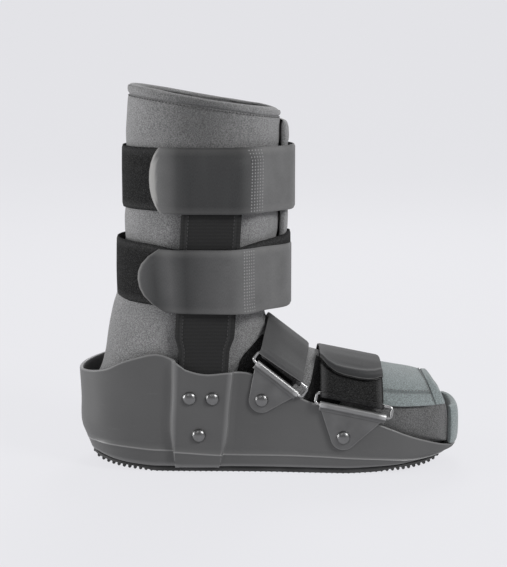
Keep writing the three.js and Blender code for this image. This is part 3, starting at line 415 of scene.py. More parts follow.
FINISHES = {
    "shell": make_shell_plastic(),
    "sole": make_sole_rubber(),
    "enamel": make_enamelled_steel(),
    "wire": make_bright_metal("bright_wire", 148, 176),
    "rivet": make_bright_metal("rivet_metal", 108, 128),
    "cover": make_heather("heather_cover", 90, 142),
    "toe": make_heather("heather_toe", 104, 150, (0.87, 1.0, 1.0)),
    "pile": make_loop_pile(),
    "strap": make_strap_knit(),
    "weave": make_sleeve_weave(),
    "dark_thread": make_thread("dark_thread", 60, 0.7),
    "grey_thread": make_thread("grey_thread", 120, 0.7),
    "weld": make_thread("weld_marks", 136, 0.35),
}
print("finishes:", ", ".join(sorted(FINISHES)))

# %% [markdown]
# ## From numbers to a mesh
# Most pieces here are a grid of points: rows along the piece, columns round it. One function joins
# neighbouring points with four-sided faces. It can close the grid either way, put caps on its
# ends, and write a UV map in metres, so that a weave keeps its true size wherever the cloth runs.

# %% Grid of points to a mesh
def distances(points, closed):
    """How far along a row of points each one lies, with the way back to the first if closed."""
    loop = np.vstack([points, points[:1]]) if closed else points
    steps = np.linalg.norm(np.diff(loop, axis=0), axis=1)
    return np.concatenate([[0.0], np.cumsum(steps)])


def grid_object(name, grid, round_columns=True, round_rows=False, caps=False, paint=None):
    grid = np.asarray(grid, float)
    rows, columns = grid.shape[:2]
    points = [tuple(p) for p in grid.reshape(-1, 3)]
    faces, corners = [], []
    across = distances(grid[rows // 2], round_columns)
    along = distances(grid[:, columns // 4], round_rows)
    for r in range(rows if round_rows else rows - 1):
        for c in range(columns if round_columns else columns - 1):
            ring = ((r, c), (r, c + 1), (r + 1, c + 1), (r + 1, c))
            faces.append([i % rows * columns + j % columns for i, j in ring])
            corners += [(across[j], along[i]) for i, j in ring]
    if caps:
        for r, order in ((0, -1), (rows - 1, 1)):
            centre = len(points)
            points.append(tuple(grid[r].mean(axis=0)))
            for c in range(columns):
                pair = [r * columns + c, r * columns + (c + 1) % columns][::order]
                faces.append((centre, *pair))
                corners += [(across[c], along[r])] * 3
    mesh = bpy.data.meshes.new(name)
    mesh.from_pydata(points, [], faces)
    uv = mesh.uv_layers.new(name="cloth")
    uv.data.foreach_set("uv", np.asarray(corners, np.float32).ravel())
    for key, values in (paint or {}).items():
        full = np.zeros(len(points), np.float32)
        full[: rows * columns] = np.broadcast_to(values, (rows, columns)).ravel()
        mesh.attributes.new(key, "FLOAT", "POINT").data.foreach_set("value", full)
    return face_outwards(linked(name, mesh))


@contextmanager
def opened(made):
    """The piece's mesh as a bmesh, which is written back afterwards."""
    work = bmesh.new()
    work.from_mesh(made.data)
    yield work
    work.to_mesh(made.data)
    work.free()


def face_outwards(made):
    """Turns every face round when the closed mesh has a negative volume."""
    with opened(made) as work:
        if work.calc_volume(signed=True) < 0:
            bmesh.ops.reverse_faces(work, faces=work.faces)
        for face in work.faces:
            face.smooth = True
    return made


def points_of(mesh):
    return np.array([vertex.co for vertex in mesh.vertices])


# %% Directions, lines and soft steps
def unit(vector):
    return vector / np.linalg.norm(vector)


def read_at(want, at, points):
    """The points of a line, read at other distances along it."""
    return np.stack([np.interp(want, at, column) for column in points.T], axis=1)


def resampled(points, count):
    at = distances(points, False)
    return read_at(np.linspace(0, at[-1], count), at, points)


def together(*values):
    """Numbers and arrays brought to one common shape."""
    return np.broadcast_arrays(*(np.asarray(value, float) for value in values))


def ease(t):
    """A soft step from 0 to 1."""
    t = np.clip(t, 0, 1)
    return t * t * (3 - 2 * t)


def hill(x, middle, width):
    """A soft bump: 1 in the middle and nearly 0 at twice its width."""
    return np.exp(-(((x - middle) / width) ** 2))


def squarish(wave, power):
    """A sine or cosine of a rounded square instead of a circle."""
    return np.sign(wave) * np.abs(wave) ** (2 / power)


# %% Dress a piece: its finish and the solids that it stands for
def dress(made, finish, slot, *nodes):
    made.data.materials.clear()
    made.data.materials.append(FINISHES[finish])
    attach(made, "root")
    if nodes:
        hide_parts(*nodes)
    print(made.name, "faces:", len(made.data.polygons))
    return made


def subdivide(made):
    modifier = made.modifiers.new("smooth", "SUBSURF")
    modifier.levels = modifier.render_levels = 1
    return made


# %% [markdown]
# ## The boot's main curves
# The frame's solids were worked out from short tables of shares. The same tables stand here, so
# the finer pieces follow the same lines: the plan of the shell, the height of its rim, the band
# along its foot, and the sections of the bootie. One smooth curve through each column serves all.

# %% Sizes in metres
BOOT_LENGTH = 0.305
BOOT_HEIGHT = 0.3026
BUMPER_PROUD = 0.0022
SHELL_LENGTH = BOOT_LENGTH - BUMPER_PROUD
SOLE_WIDTH = 0.110
RIM_HEIGHT = 0.0945
CUFF_WIDTH = 0.108
GAP = 0.0003
SHELL_WALL = 0.003
WALL_LEAN = 0.0008
FOOT_BED = 0.0135
BASE_MIN = 0.003
HEEL_ROUND = 0.046
TOE_ROUND = 0.050
ROUND_POWER = 2.2
SOLE_THICKNESS = 0.0047
TREAD_PITCH = 0.0043
TREAD_DEPTH = 0.0022
HEEL_ROCKER = 0.0075
TOE_ROCKER = 0.0055
SOLE_FLAT_START = -0.091
SOLE_FLAT_END = 0.060
SOLE_HEEL_INSET = 0.011
SOLE_TOE_INSET = 0.013
SOLE_SIDE_INSET = 0.004
CHANNEL_HALF = 0.0524
CHANNEL_WIDTH = 0.0466
CHANNEL_TAPER = 0.004
CHANNEL_RUN = 0.0017
STRUT_FOOT_X = -0.0572
STRUT_LEAN = 0.062
STRUT_THICKNESS = 0.0025
SLEEVE_WALL = 0.001
SLEEVE_BOTTOM = 0.070
SLEEVE_TOP = 0.246
SLEEVE_WIDTH = 0.046
SLEEVE_NECK = 0.0395

# %% Tables of shares
SHELL_PLAN = {
    0.0: 0.84, 0.1: 0.84, 0.2: 0.855, 0.26: 0.87, 0.4: 0.885, 0.5: 0.905,
    0.6: 0.95, 0.7: 0.99, 0.78: 1.0, 0.84: 0.975, 0.9: 0.9, 1.0: 0.8,
}
SHELL_RIM = {
    0.0: 0.812, 0.083: 0.867, 0.121: 0.926, 0.171: 0.976, 0.217: 1.0, 0.262: 0.943,
    0.286: 0.884, 0.338: 0.842, 0.4: 0.856, 0.452: 0.847, 0.52: 0.746, 0.593: 0.629,
    0.702: 0.513, 0.788: 0.422, 0.88: 0.302, 0.92: 0.254, 0.959: 0.206, 1.0: 0.162,
}
SHELL_BAND = {
    0.0: 0.6, 0.11: 0.9, 0.18: 0.96, 0.25: 0.93, 0.385: 0.73, 0.58: 0.7,
    0.7: 0.6, 0.8: 0.38, 0.89: 0.13, 1.0: 0.06,
}
# Front and back edge of the bootie's sections, as shares of the length and height, and half width
SHAFT_SECTIONS = [
    (0.526, 0.931, 0.138, 1.0, 1.0),
    (0.528, 0.853, 0.1295, 0.886, 0.99),
    (0.527, 0.767, 0.1236, 0.78, 0.97),
    (0.526, 0.677, 0.1226, 0.677, 0.945),
    (0.523, 0.601, 0.1213, 0.595, 0.915),
    (0.513, 0.522, 0.108, 0.512, 0.875),
    (0.497, 0.456, 0.092, 0.43, 0.82),
    (0.487, 0.403, 0.0705, 0.346, 0.775),
]
# The same for the heel and the foot, with the lift of the lower edge over the foot bed
FOOT_SECTIONS = [
    (0.5016, 0.37, 0.0426, 0.2215),
    (0.526, 0.347, 0.0197, 0.144),
    (0.5525, 0.327, 0.0225, 0.0695),
    (0.5787, 0.307, 0.058, 0.004),
    (0.6115, 0.296, 0.1885, 0),
    (0.6475, 0.284, 0.369, 0),
    (0.69, 0.2627, 0.533, 0),
    (0.7426, 0.2445, 0.697, 0),
    (0.8213, 0.2297, 0.8213, 0),
    (0.8738, 0.223, 0.903, 0),
    (0.913, 0.2148, 0.957, 0.004),
]
LINER_WALL = 0.008
LINER_SIDE_ROOM = 0.0023


# %% One smooth curve through a table
def smooth_curve(places, values, at):
    places = np.asarray(places, float)
    values = np.asarray(values, float)
    slopes = np.empty(len(places))
    slopes[1:-1] = (values[2:] - values[:-2]) / (places[2:] - places[:-2])
    slopes[0] = (values[1] - values[0]) / (places[1] - places[0])
    slopes[-1] = (values[-1] - values[-2]) / (places[-1] - places[-2])
    at = np.asarray(at, float)
    i = np.clip(np.searchsorted(places, at, side="right") - 1, 0, len(places) - 2)
    run = places[i + 1] - places[i]
    t = np.clip((at - places[i]) / run, 0, 1)
    rise = (3 - 2 * t) * t * t
    start = (1 - rise) * values[i] + (t**3 - 2 * t * t + t) * run * slopes[i]
    return start + rise * values[i + 1] + (t**3 - t * t) * run * slopes[i + 1]


def from_table(table, at):
    return smooth_curve(list(table.keys()), list(table.values()), at)


# %% Heights and widths along the boot
HEEL_X = -BOOT_LENGTH / 2
TOE_X = HEEL_X + SHELL_LENGTH
SOLE_START = HEEL_X + SOLE_HEEL_INSET
SOLE_END = TOE_X - SOLE_TOE_INSET


def shell_share(x):
    return (np.asarray(x, float) - HEEL_X) / SHELL_LENGTH


def rocker(x):
    x = np.asarray(x, float)
    heel = np.clip((SOLE_FLAT_START - x) / (SOLE_FLAT_START - SOLE_START), 0, None) ** 1.2
    toe = np.clip((x - SOLE_FLAT_END) / (SOLE_END - SOLE_FLAT_END), 0, None) ** 1.1
    return HEEL_ROCKER * heel + TOE_ROCKER * toe


def sole_low(x):
    return np.minimum(rocker(x), HEEL_ROCKER)


def shell_bottom(x):
    return sole_low(x) + SOLE_THICKNESS + GAP


def foot_bed(x):
    return np.maximum(FOOT_BED, shell_bottom(x) + BASE_MIN)


def rim_height(x):
    return RIM_HEIGHT * from_table(SHELL_RIM, shell_share(x))


def band_top(x):
    return shell_bottom(x) + FOOT_BED * from_table(SHELL_BAND, shell_share(x))


def round_end(distance, length):
    t = 1 - np.clip(distance, 0, length) / length
    return (1 - t**ROUND_POWER) ** (1 / ROUND_POWER)


def shell_half(x):
    ends = round_end(np.asarray(x) - HEEL_X, HEEL_ROUND) * round_end(TOE_X - np.asarray(x), TOE_ROUND)
    return SOLE_WIDTH / 2 * from_table(SHELL_PLAN, shell_share(x)) * ends


def strut_x(z):
    return STRUT_FOOT_X + STRUT_LEAN * z


def channel_half_width(z):
    return (CHANNEL_WIDTH - CHANNEL_TAPER * np.maximum(0, 1 - z / RIM_HEIGHT)) / 2


print("rim over the heel wing, in millimetres:", round(float(rim_height(-0.0868)) * 1000, 1))

# %% [markdown]
# ## Shell
# The real shell is one thin moulding: a walled tray with a band along its foot, two raised
# channels that hold the uprights, and a rounded rim. A box with loop cuts could give it, but its
# wall follows rules, so it is a grid here: each level is the plan outline, moved in a little and
# lifted to a height that changes along the boot. The last levels turn over the rim and go down
# inside. A value painted on the rim, the band's top edge and the ridges gives them a painted
# highlight in the plastic.

# %% Outline of the shell at one level
FLANK_STEPS = 5
CHANNEL_GUESS = (-0.0855, -0.0235)


def shell_outline(height):
    """Half of the plan from heel to toe, with how raised each point is, for one level."""
    turn = np.linspace(0, math.pi / 2, 21)
    heel = HEEL_X + HEEL_ROUND * (1 - np.cos(turn))
    toe = TOE_X - TOE_ROUND * (1 - np.cos(turn[::-1]))
    low, high = CHANNEL_GUESS
    for _ in range(3):
        low_z, high_z = height(low), height(high)
        low = strut_x(low_z) - channel_half_width(low_z)
        high = strut_x(high_z) + channel_half_width(high_z)
    run = np.linspace(0, 1, FLANK_STEPS)
    before = np.linspace(heel[-1], low - CHANNEL_RUN, 6)[1:-1]
    rise = low - CHANNEL_RUN * (1 - run)
    face = np.linspace(low, high, 11)[1:-1]
    fall = high + CHANNEL_RUN * run
    after = np.linspace(high + CHANNEL_RUN, toe[0], 30)[1:-1]
    x = np.concatenate([heel, before, rise, face, fall, after, toe])
    share = np.concatenate(
        [np.zeros(len(heel) + len(before)), ease(run), np.ones(len(face)), ease(run)[::-1]]
    )
    share = np.concatenate([share, np.zeros(len(x) - len(share))])
    half = shell_half(x) * (1 - share) + CHANNEL_HALF * share
    half[0] = half[-1] = 0
    return x, half, share


def moved_in(x, half, along, across):
    """The outline moved in, by one amount along the boot and another across it."""
    points = np.stack([x, half], axis=1)
    before = np.diff(points, axis=0)
    before /= np.linalg.norm(before, axis=1)[:, None]
    normal = np.vstack([before[:1], before[:-1] + before[1:], before[-1:]])
    normal[0] = (0, 1)
    normal[-1] = (0, -1)
    normal /= np.linalg.norm(normal, axis=1)[:, None]
    new_x = x + normal[:, 1] * along
    new_half = half - normal[:, 0] * across
    new_x[0], new_x[-1] = x[0] + along, x[-1] - along
    new_half[0] = new_half[-1] = 0
    return new_x, new_half


# %% Levels of the shell, from its foot over the rim and down inside
BEAD = 0.0007
FOOT_EDGE = 0.0008
FOOT_INSET = SOLE_HEEL_INSET - 0.0025
HEEL_TUCK = 0.005


def wall_height(share):
    return lambda x: band_top(x) + 0.001 + share * (rim_height(x) - band_top(x) - 0.0025)


def foot_edge(x):
    return shell_bottom(x) + FOOT_EDGE


def band_height(share):
    return lambda x: foot_edge(x) + share * (band_top(x) - foot_edge(x))


def deck_height(x):
    return np.minimum(foot_bed(x), rim_height(x) - 0.0012)


def shell_levels():
    """Height, distance in along the boot and across it, and the painted highlight on each level."""
    levels = [
        (shell_bottom, SOLE_HEEL_INSET, SOLE_SIDE_INSET, 0),
        (lambda x: shell_bottom(x) + 0.0001, SOLE_HEEL_INSET - 0.001, 0.0018, 0.2),
        (foot_edge, FOOT_INSET, FOOT_EDGE, 0.6),
    ]
    for share in (0.25, 0.5, 0.75, 0.95):
        levels.append((band_height(share), FOOT_INSET - 0.003 * share, 0.0006 * (1 - share), 0))
    levels += [
        (lambda x: band_top(x) - 0.0001, HEEL_TUCK + 0.0003, -0.4 * BEAD, 0.6),
        (lambda x: band_top(x) + 0.0003, HEEL_TUCK + 0.0001, -0.2 * BEAD, 1.0),
        (wall_height(0.0), HEEL_TUCK, WALL_LEAN, 0.1),
    ]
    for share in np.linspace(0.06, 1.0, 12):
        along = float(from_table({0: HEEL_TUCK, 0.2: 0.001, 0.6: 0.001, 1: 0}, share))
        levels.append((wall_height(share), along, WALL_LEAN * (1 - share), 0))
    lip = SHELL_WALL / 2
    for turn in np.radians([15, 40, 65, 90, 115, 140, 165]):
        sink = lip * (1 - math.sin(turn))
        move = lip * (1 - math.cos(turn)) - 0.0003 * math.sin(turn)
        levels.append((lambda x, sink=sink: rim_height(x) - sink, move, move, math.sin(turn)))
    for share in (0.96, 0.8, 0.6, 0.4, 0.2, 0.1):
        inside = SHELL_WALL + WALL_LEAN * (1 - share)
        levels.append((wall_height(share), inside + 0.001 * (share < 0.9), inside, 0))
    levels.append((deck_height, HEEL_TUCK + SHELL_WALL, WALL_LEAN + SHELL_WALL, 0))
    return levels


# %% Make the shell
def make_shell():
    rings, painted_highlight = [], []
    for height, along, across, edge in shell_levels():
        x, half, share = shell_outline(height)
        z = height(x)
        in_x, in_half = moved_in(x, half, along, across)
        # painted highlight on the channel's flanks and ridges
        ridge = np.clip(4 * share * (1 - share), 0, 1) * 0.5
        ridge += 0.6 * (share > 0.9) * (np.abs(np.gradient(share)) > 0)
        near = np.stack([in_x, -in_half, z], axis=1)
        far = np.stack([in_x, in_half, z], axis=1)[1:-1][::-1]
        rings.append(np.vstack([near, far]))
        paint = np.maximum(edge, ridge)
        painted_highlight.append(np.concatenate([paint, paint[1:-1][::-1]]))
    shell = grid_object("walker_shell", rings, paint={"edge": np.array(painted_highlight)})
    close_ends(shell, len(rings[0]), len(rings))
    return shell


def close_ends(made, columns, rows):
    """Rungs from side to side over the first and the last level."""
    with opened(made) as work:
        work.verts.ensure_lookup_table()
        for first, order in ((0, -1), ((rows - 1) * columns, 1)):
            for i in range(columns // 2):
                ring = [i, i + 1, (columns - i - 1) % columns, (columns - i) % columns]
                corners = list(dict.fromkeys(ring))[::order]
                work.faces.new([work.verts[first + k] for k in corners])
    face_outwards(made)


shell = make_shell()
dress(shell, "shell", "shell", "shell")

# %% [markdown]
# ## Sole
# The rubber sole is a thin strip that curves up at heel and toe, with a row of cross lugs. The
# strip is a grid again. The lugs all have one section and differ only in length, so Geometry
# Nodes make them: a filleted bar is made once and placed on each point, stretched to the width
# of the sole there.

# %% Strip of the sole
TREAD_FILL = 0.88
FLAT_EASE = 0.018
FILLED_START = -0.106
FILLED_END = 0.101
SOLE_SIDE_LEAN = 0.0006


def sole_half(x):
    heel = round_end(x - SOLE_START + 0.001, HEEL_ROUND - SOLE_HEEL_INSET)
    toe = round_end(SOLE_END - x + 0.001, TOE_ROUND - SOLE_TOE_INSET)
    body = SOLE_WIDTH / 2 * from_table(SHELL_PLAN, shell_share(x)) - SOLE_SIDE_INSET
    return np.maximum(0.004, body * heel * toe)


def make_sole_strip():
    x = SOLE_START + (SOLE_END - SOLE_START) * (0.5 - 0.5 * np.cos(np.linspace(0, math.pi, 90)))
    flat = ease((x - FILLED_START) / FLAT_EASE) * ease((FILLED_END - x) / FLAT_EASE)
    low = sole_low(x) + TREAD_DEPTH * (1 - TREAD_FILL * flat)
    top = sole_low(x) + SOLE_THICKNESS
    half = sole_half(x)
    loops = []
    for xi, li, ti, hi in zip(x, low, top, half):
        lean = SOLE_SIDE_LEAN
        side = [(hi - 2 * lean, ti), (hi, ti - lean), (hi, li + 0.0005), (hi - lean, li)]
        across = [(hi - lean) * k for k in (0.5, 0, -0.5)]
        tread = [(y, li) for y in across]
        other = [(-y, z) for y, z in side[::-1]]
        deck = [(-y, ti) for y in across]
        loops.append([(xi, y, z) for y, z in side + tread + other + deck])
    return grid_object("sole_strip", loops, caps=True)


# %% A small kit for Geometry Nodes
def socket_id(tree, name):
    for item in tree.interface.items_tree:
        if item.item_type == "SOCKET" and item.in_out == "INPUT" and item.name == name:
            return item.identifier
    raise KeyError(name)


class Nodes:
    """A Geometry Nodes tree. Its named inputs are of one kind, and a material comes last."""

    def __init__(self, name, kind, *inputs):
        self.tree = bpy.data.node_groups.new(name, "GeometryNodeTree")
        self.socket("Geometry", "OUTPUT", "NodeSocketGeometry")
        self.socket("Geometry", "INPUT", "NodeSocketGeometry")
        for key in inputs:
            self.socket(key, "INPUT", kind)
        self.socket("Material", "INPUT", "NodeSocketMaterial")
        self.source = self.tree.nodes.new("NodeGroupInput")
        self.sink = self.tree.nodes.new("NodeGroupOutput")

    def socket(self, name, way, kind):
        self.tree.interface.new_socket(name, in_out=way, socket_type=kind)

    def add(self, kind, settings=None, inputs=None):
        """A node with its settings and inputs. What comes back is its first output."""
        made = self.tree.nodes.new(kind)
        for key, value in (settings or {}).items():
            setattr(made, key, value)
        for key, value in (inputs or {}).items():
            for one in value if isinstance(value, list) else [value]:
                if isinstance(one, bpy.types.NodeSocket):
                    self.tree.links.new(one, made.inputs[key])
                else:
                    made.inputs[key].default_value = one
        return made.outputs[0]

    def given(self, name):
        return self.source.outputs[name]

    def vector(self, name):
        """A direction or a size that each point carries."""
        settings = {"data_type": "FLOAT_VECTOR"}
        return self.add("GeometryNodeInputNamedAttribute", settings, {"Name": name})

    def on_points(self, thing, rotation, **inputs):
        """Ends the tree: a copy of one thing on each point, made real, with its material."""
        inputs |= {"Points": self.given("Geometry"), "Instance": thing, "Rotation": rotation}
        copies = self.add("GeometryNodeInstanceOnPoints", {}, inputs)
        whole = self.add("GeometryNodeRealizeInstances", {}, {"Geometry": copies})
        inputs = {"Geometry": whole, "Material": self.given("Material")}
        self.tree.links.new(self.add("GeometryNodeSetMaterial", {}, inputs), self.sink.inputs[0])
        return self.tree


def placed_by_nodes(name, points, tree, values, attributes):
    """Runs a tree on a cloud of points and returns the plain mesh that comes out."""
    mesh = bpy.data.meshes.new(name + "_points")
    mesh.from_pydata([tuple(p) for p in points], [], [])
    for key, rows in attributes.items():
        rows = np.asarray(rows, np.float32)
        kind = "FLOAT_VECTOR" if rows.ndim == 2 else "FLOAT"
        field = "vector" if rows.ndim == 2 else "value"
        mesh.attributes.new(key, kind, "POINT").data.foreach_set(field, rows.ravel())
    host = linked(name + "_points", mesh)
    modifier = host.modifiers.new("place", "NODES")
    modifier.node_group = tree
    for key, value in values.items():
        modifier[socket_id(tree, key)] = value
    bpy.context.view_layer.update()
    ready = host.evaluated_get(bpy.context.evaluated_depsgraph_get())
    result = bpy.data.meshes.new_from_object(ready)
    host.modifiers.remove(modifier)
    bpy.data.objects.remove(host)
    for polygon in result.polygons:
        polygon.use_smooth = True
    return linked(name, result)


# %% Tree of the lugs
def make_lug_tree():
    nodes = Nodes("lugs", "NodeSocketFloat", "Width", "Height", "Fillet")
    ends = {"Start": (0, 0.5, 0), "End": (0, -0.5, 0)}
    line = nodes.add("GeometryNodeCurvePrimitiveLine", {}, ends)
    size = {"Width": nodes.given("Width"), "Height": nodes.given("Height")}
    box = nodes.add("GeometryNodeCurvePrimitiveQuadrilateral", {"mode": "RECTANGLE"}, size)
    corners = {"Curve": box, "Radius": nodes.given("Fillet")}
    section = nodes.add("GeometryNodeFilletCurve", {}, corners)
    sweep = {"Curve": line, "Profile Curve": section, "Fill Caps": True}
    bar = nodes.add("GeometryNodeCurveToMesh", {}, sweep)
    return nodes.on_points(bar, nodes.vector("lean"), Scale=nodes.vector("size"))


# %% Make the sole
LUG_SHARE = 0.62
LUG_FILLET = 0.0009
LUG_ROOT = 0.001


def make_sole():
    strip = make_sole_strip()
    count = round((SOLE_END - SOLE_START) / TREAD_PITCH)
    pitch = (SOLE_END - SOLE_START) / count
    x = SOLE_START + (np.arange(count) + 0.32) * pitch
    half = np.minimum(sole_half(x - 0.3 * pitch), sole_half(x + 0.3 * pitch)) - 0.0004
    slope = np.arctan2(sole_low(x + 0.001) - sole_low(x - 0.001), 0.002)
    height = TREAD_DEPTH + LUG_ROOT
    points = np.stack([x, np.zeros(count), sole_low(x) + height / 2], axis=1)
    size = np.stack([np.ones(count), 2 * half, np.ones(count)], axis=1)
    lean = np.stack([np.zeros(count), -slope, np.zeros(count)], axis=1)
    values = {"Width": LUG_SHARE * pitch, "Height": height, "Fillet": LUG_FILLET}
    values["Material"] = FINISHES["sole"]
    lugs = placed_by_nodes("sole_lugs", points, make_lug_tree(), values, {"size": size, "lean": lean})
    dress(strip, "sole", "sole", "outsole")
    dress(lugs, "sole", "sole")
    print("lugs:", count)


make_sole()

# %% [markdown]
# Stitches and welded dots repeat in the same way: one small bead on each point. Each point says
# how the bead is turned and how large it is. The turn comes from two directions, the way along
# the seam and the way out of the cloth.

# %% Tree of the stitches and dots
def make_mark_tree():
    nodes = Nodes("marks", "NodeSocketInt", "Segments", "Rings")
    size = {"Segments": nodes.given("Segments"), "Rings": nodes.given("Rings"), "Radius": 1.0}
    bead = nodes.add("GeometryNodeMeshUVSphere", {}, size)
    return nodes.on_points(bead, nodes.vector("turn"), Scale=nodes.vector("size"))


mark_tree = make_mark_tree()

# %% Stitches along a line
STITCH_PITCH = 0.0029
STITCH_SIZE = (0.00105, 0.00036, 0.00034)


def turn_of(step, out):
    step = unit(step - out * np.dot(step, out))
    return tuple(Matrix(np.stack([step, np.cross(out, step), out], axis=1)).to_euler())


def marks(name, places, steps, outs, size, finish, slot, segments=8, rings=4):
    """Small beads: X along each step, Z along each way out."""
    turns = [turn_of(step, unit(out)) for step, out in zip(steps, outs)]
    sizes = np.broadcast_to(np.array(size), (len(places), 3))
    values = {"Segments": segments, "Rings": rings, "Material": FINISHES[finish]}
    attributes = {"turn": turns, "size": sizes}
    return dress(placed_by_nodes(name, places, mark_tree, values, attributes), finish, slot)


def seam(place, near=0.0, high=0.0004):
    """Stitches along place(t, out) for t from 0 to 1: their places, steps and ways out."""
    t = np.linspace(0, 1, 300)
    path = place(t, near)
    at = distances(path, False)
    want = np.arange(STITCH_PITCH / 2, at[-1], STITCH_PITCH)
    lines = (path, np.gradient(path, axis=0), place(t, near + high) - path)
    return [read_at(want, at, line) for line in lines]


def sew(name, lines, finish, slot, near=0.0):
    found = [seam(line, near) for line in lines]
    places, steps, outs = (np.vstack([one[k] for one in found]) for k in range(3))
    return marks(name, places, steps, outs, STITCH_SIZE, finish, slot)


# %% [markdown]
# ## Bootie
# The bootie is foam between two cloths, sewn where panels meet. As a mesh it is one closed skin:
# out along the sections from cuff to toe, over the toe end and back inside. Its sections come from
# the table, finely stepped, and the cuff has a turned hem with a sewn line under it.

# %% A point of the bootie's surface
FOOT_START = len(SHAFT_SECTIONS)
TOE_SECTION = FOOT_START + len(FOOT_SECTIONS) - 1
LINER_SIDES = 26
SIDE_ANGLE = 2 * math.pi / LINER_SIDES
LEG_POWER = 2.15
HEEL_POWER = 1.1


def boot_x(share):
    return HEEL_X + share * BOOT_LENGTH


def section_table():
    rows = [
        (boot_x(fx), fz * BOOT_HEIGHT, boot_x(bx), bz * BOOT_HEIGHT, half * CUFF_WIDTH / 2)
        for fx, fz, bx, bz, half in SHAFT_SECTIONS
    ]
    for fx, fz, bx, lift in FOOT_SECTIONS:
        front, rear = boot_x(fx), boot_x(bx)
        low = float(foot_bed(rear)) + GAP + lift * BOOT_HEIGHT
        half = float(shell_half((front + rear) / 2)) - SHELL_WALL - LINER_SIDE_ROOM
        rows.append((front, fz * BOOT_HEIGHT, rear, low, half))
    return np.array(rows)


SECTIONS = section_table()


def section_at(s):
    """Front x and z, back x and z and half width at any place between the sections."""
    numbers = np.arange(len(SECTIONS))
    return [smooth_curve(numbers, SECTIONS[:, k], s) for k in range(5)]


def liner_point(s, angle, out):
    """The bootie's surface at section s and an angle from its front edge, moved out."""
    s, angle, out = together(s, angle, out)
    front_x, front_z, back_x, back_z, half = section_at(s)
    span_x, span_z = front_x - back_x, front_z - back_z
    length = np.hypot(span_x, span_z)
    reach = length / 2 + out
    on_foot = np.clip((s - FOOT_START - 2) / 2, 0, 1)
    cosine = np.cos(angle)
    power = LEG_POWER + np.where(cosine < 0, HEEL_POWER * on_foot, 0)
    c, d = squarish(cosine, power), squarish(np.sin(angle), power)
    x = (front_x + back_x) / 2 + span_x / length * reach * c
    z = (front_z + back_z) / 2 + span_z / length * reach * c
    return np.stack([x, (half + out) * d, z], axis=-1)


# %% [markdown]
# ## Padding by cloth simulation
# Foam under cloth swells between its seams. A grid of the right size is the start, Blender's Cloth
# with a little pressure blows it up, and the vertices on seams and under straps are pinned. Twenty
# frames are enough. A cap on how far any point may move keeps the pad in its place, and the result
# is written into the mesh, so no simulation is left on the piece.

# %% Swell a pad
PAD_PRESSURE = 4.0
PAD_FRAMES = 20


def swell(made, pinned, cap):
    """Blows the mesh up by cloth simulation, holds the pinned vertices, caps every move."""
    start = points_of(made.data)
    group = made.vertex_groups.new(name="held")
    for i, hold in enumerate(pinned):
        if hold > 0.01:
            group.add([i], float(hold), "REPLACE")
    modifier = made.modifiers.new("cloth", "CLOTH")
    settings = modifier.settings
    settings.quality = 5
    settings.mass = 0.25
    settings.tension_stiffness = 20
    settings.compression_stiffness = 20
    settings.shear_stiffness = 10
    settings.bending_stiffness = 0.6
    settings.use_pressure = True
    settings.uniform_pressure_force = PAD_PRESSURE
    settings.effector_weights.gravity = 0
    settings.vertex_group_mass = "held"
    modifier.point_cache.frame_start = 1
    modifier.point_cache.frame_end = PAD_FRAMES
    scene = bpy.context.scene
    for number in range(1, PAD_FRAMES + 1):
        scene.frame_set(number)
    ready = made.evaluated_get(bpy.context.evaluated_depsgraph_get())
    moved = points_of(ready.data) - start
    made.modifiers.remove(modifier)
    made.vertex_groups.remove(group)
    scene.frame_set(1)
    length = np.linalg.norm(moved, axis=1)
    share = np.where(length > cap, cap / np.maximum(length, 1e-9), 1)
    end = start + moved * share[:, None]
    for vertex, place in zip(made.data.vertices, end):
        vertex.co = place
    print(made.name, "swelled by up to", round(float(min(length.max(), cap)) * 1000, 2), "mm")
    return made


# %% Where straps press on the bootie
# Heights are shares of the boot's height. Angles are degrees from the front, and the outer side is
# below 0. The painted sheen says how light the cloth is painted at each angle, where the upper
# strap's dark middle is its printed panel, and "patch" how light the tab's end is.
CALF_STRAPS = {
    "upper": {
        "pile": 0.76,
        "smooth": 0.758,
        "tip": -133,
        "round": 8,
        "end": 150,
        "loose": 0.0004,
        "skew": 0.0,
        "patch": 0.55,
        "weld": (-58, -47),
        "worn": {
            -133: 1.0, -127: 0.95, -118: 0.5, -109: 0.08, -66: 0.1, -57: 0.4, -46: 0.95, 0: 0.9,
            60: 0.5, 150: 0.4,
        },
    },
    "lower": {
        "pile": 0.522,
        "smooth": 0.5025,
        "tip": -139.5,
        "round": 20,
        "end": 150,
        "loose": 0.0035,
        "skew": 0.0055,
        "patch": 0.0,
        "weld": (-55.5, -46.5),
        "worn": {
            -140: 0.4, -133: 0.3, -124: 0.06, -110: 0.5, -98: 0.12, -87: 0.35, -76: 0.5,
            -53: 0.85, -26: 1.0, 0: 0.95, 60: 0.5, 150: 0.4,
        },
    },
}
PILE_WIDTH = 0.048
PILE_THICKNESS = 0.0016
STRAP_WIDTH = 0.050
STRAP_THICKNESS = 0.0018
PINCH = 0.0011
STRAP_FADE = 0.005
SLEEVE_FADE = 0.006


def pressed(points):
    """From 0 to 1: how much a strap or the upright's sleeve holds the cloth down here."""
    z = points[..., 2]
    held = np.zeros(z.shape)
    for strap in CALF_STRAPS.values():
        middle = strap["pile"] * BOOT_HEIGHT
        away = np.abs(z - middle) - PILE_WIDTH / 2
        held = np.maximum(held, ease(1 - away / STRAP_FADE))
    along = np.abs(points[..., 0] - strut_x(z)) - SLEEVE_WIDTH / 2
    side = np.abs(points[..., 1]) > 0.03
    held = np.maximum(held, ease(1 - along / SLEEVE_FADE) * side * (z > 0.05))
    inside_shell = ease((rim_height(points[..., 0]) + 0.002 - z) / 0.004)
    return np.maximum(held, inside_shell)


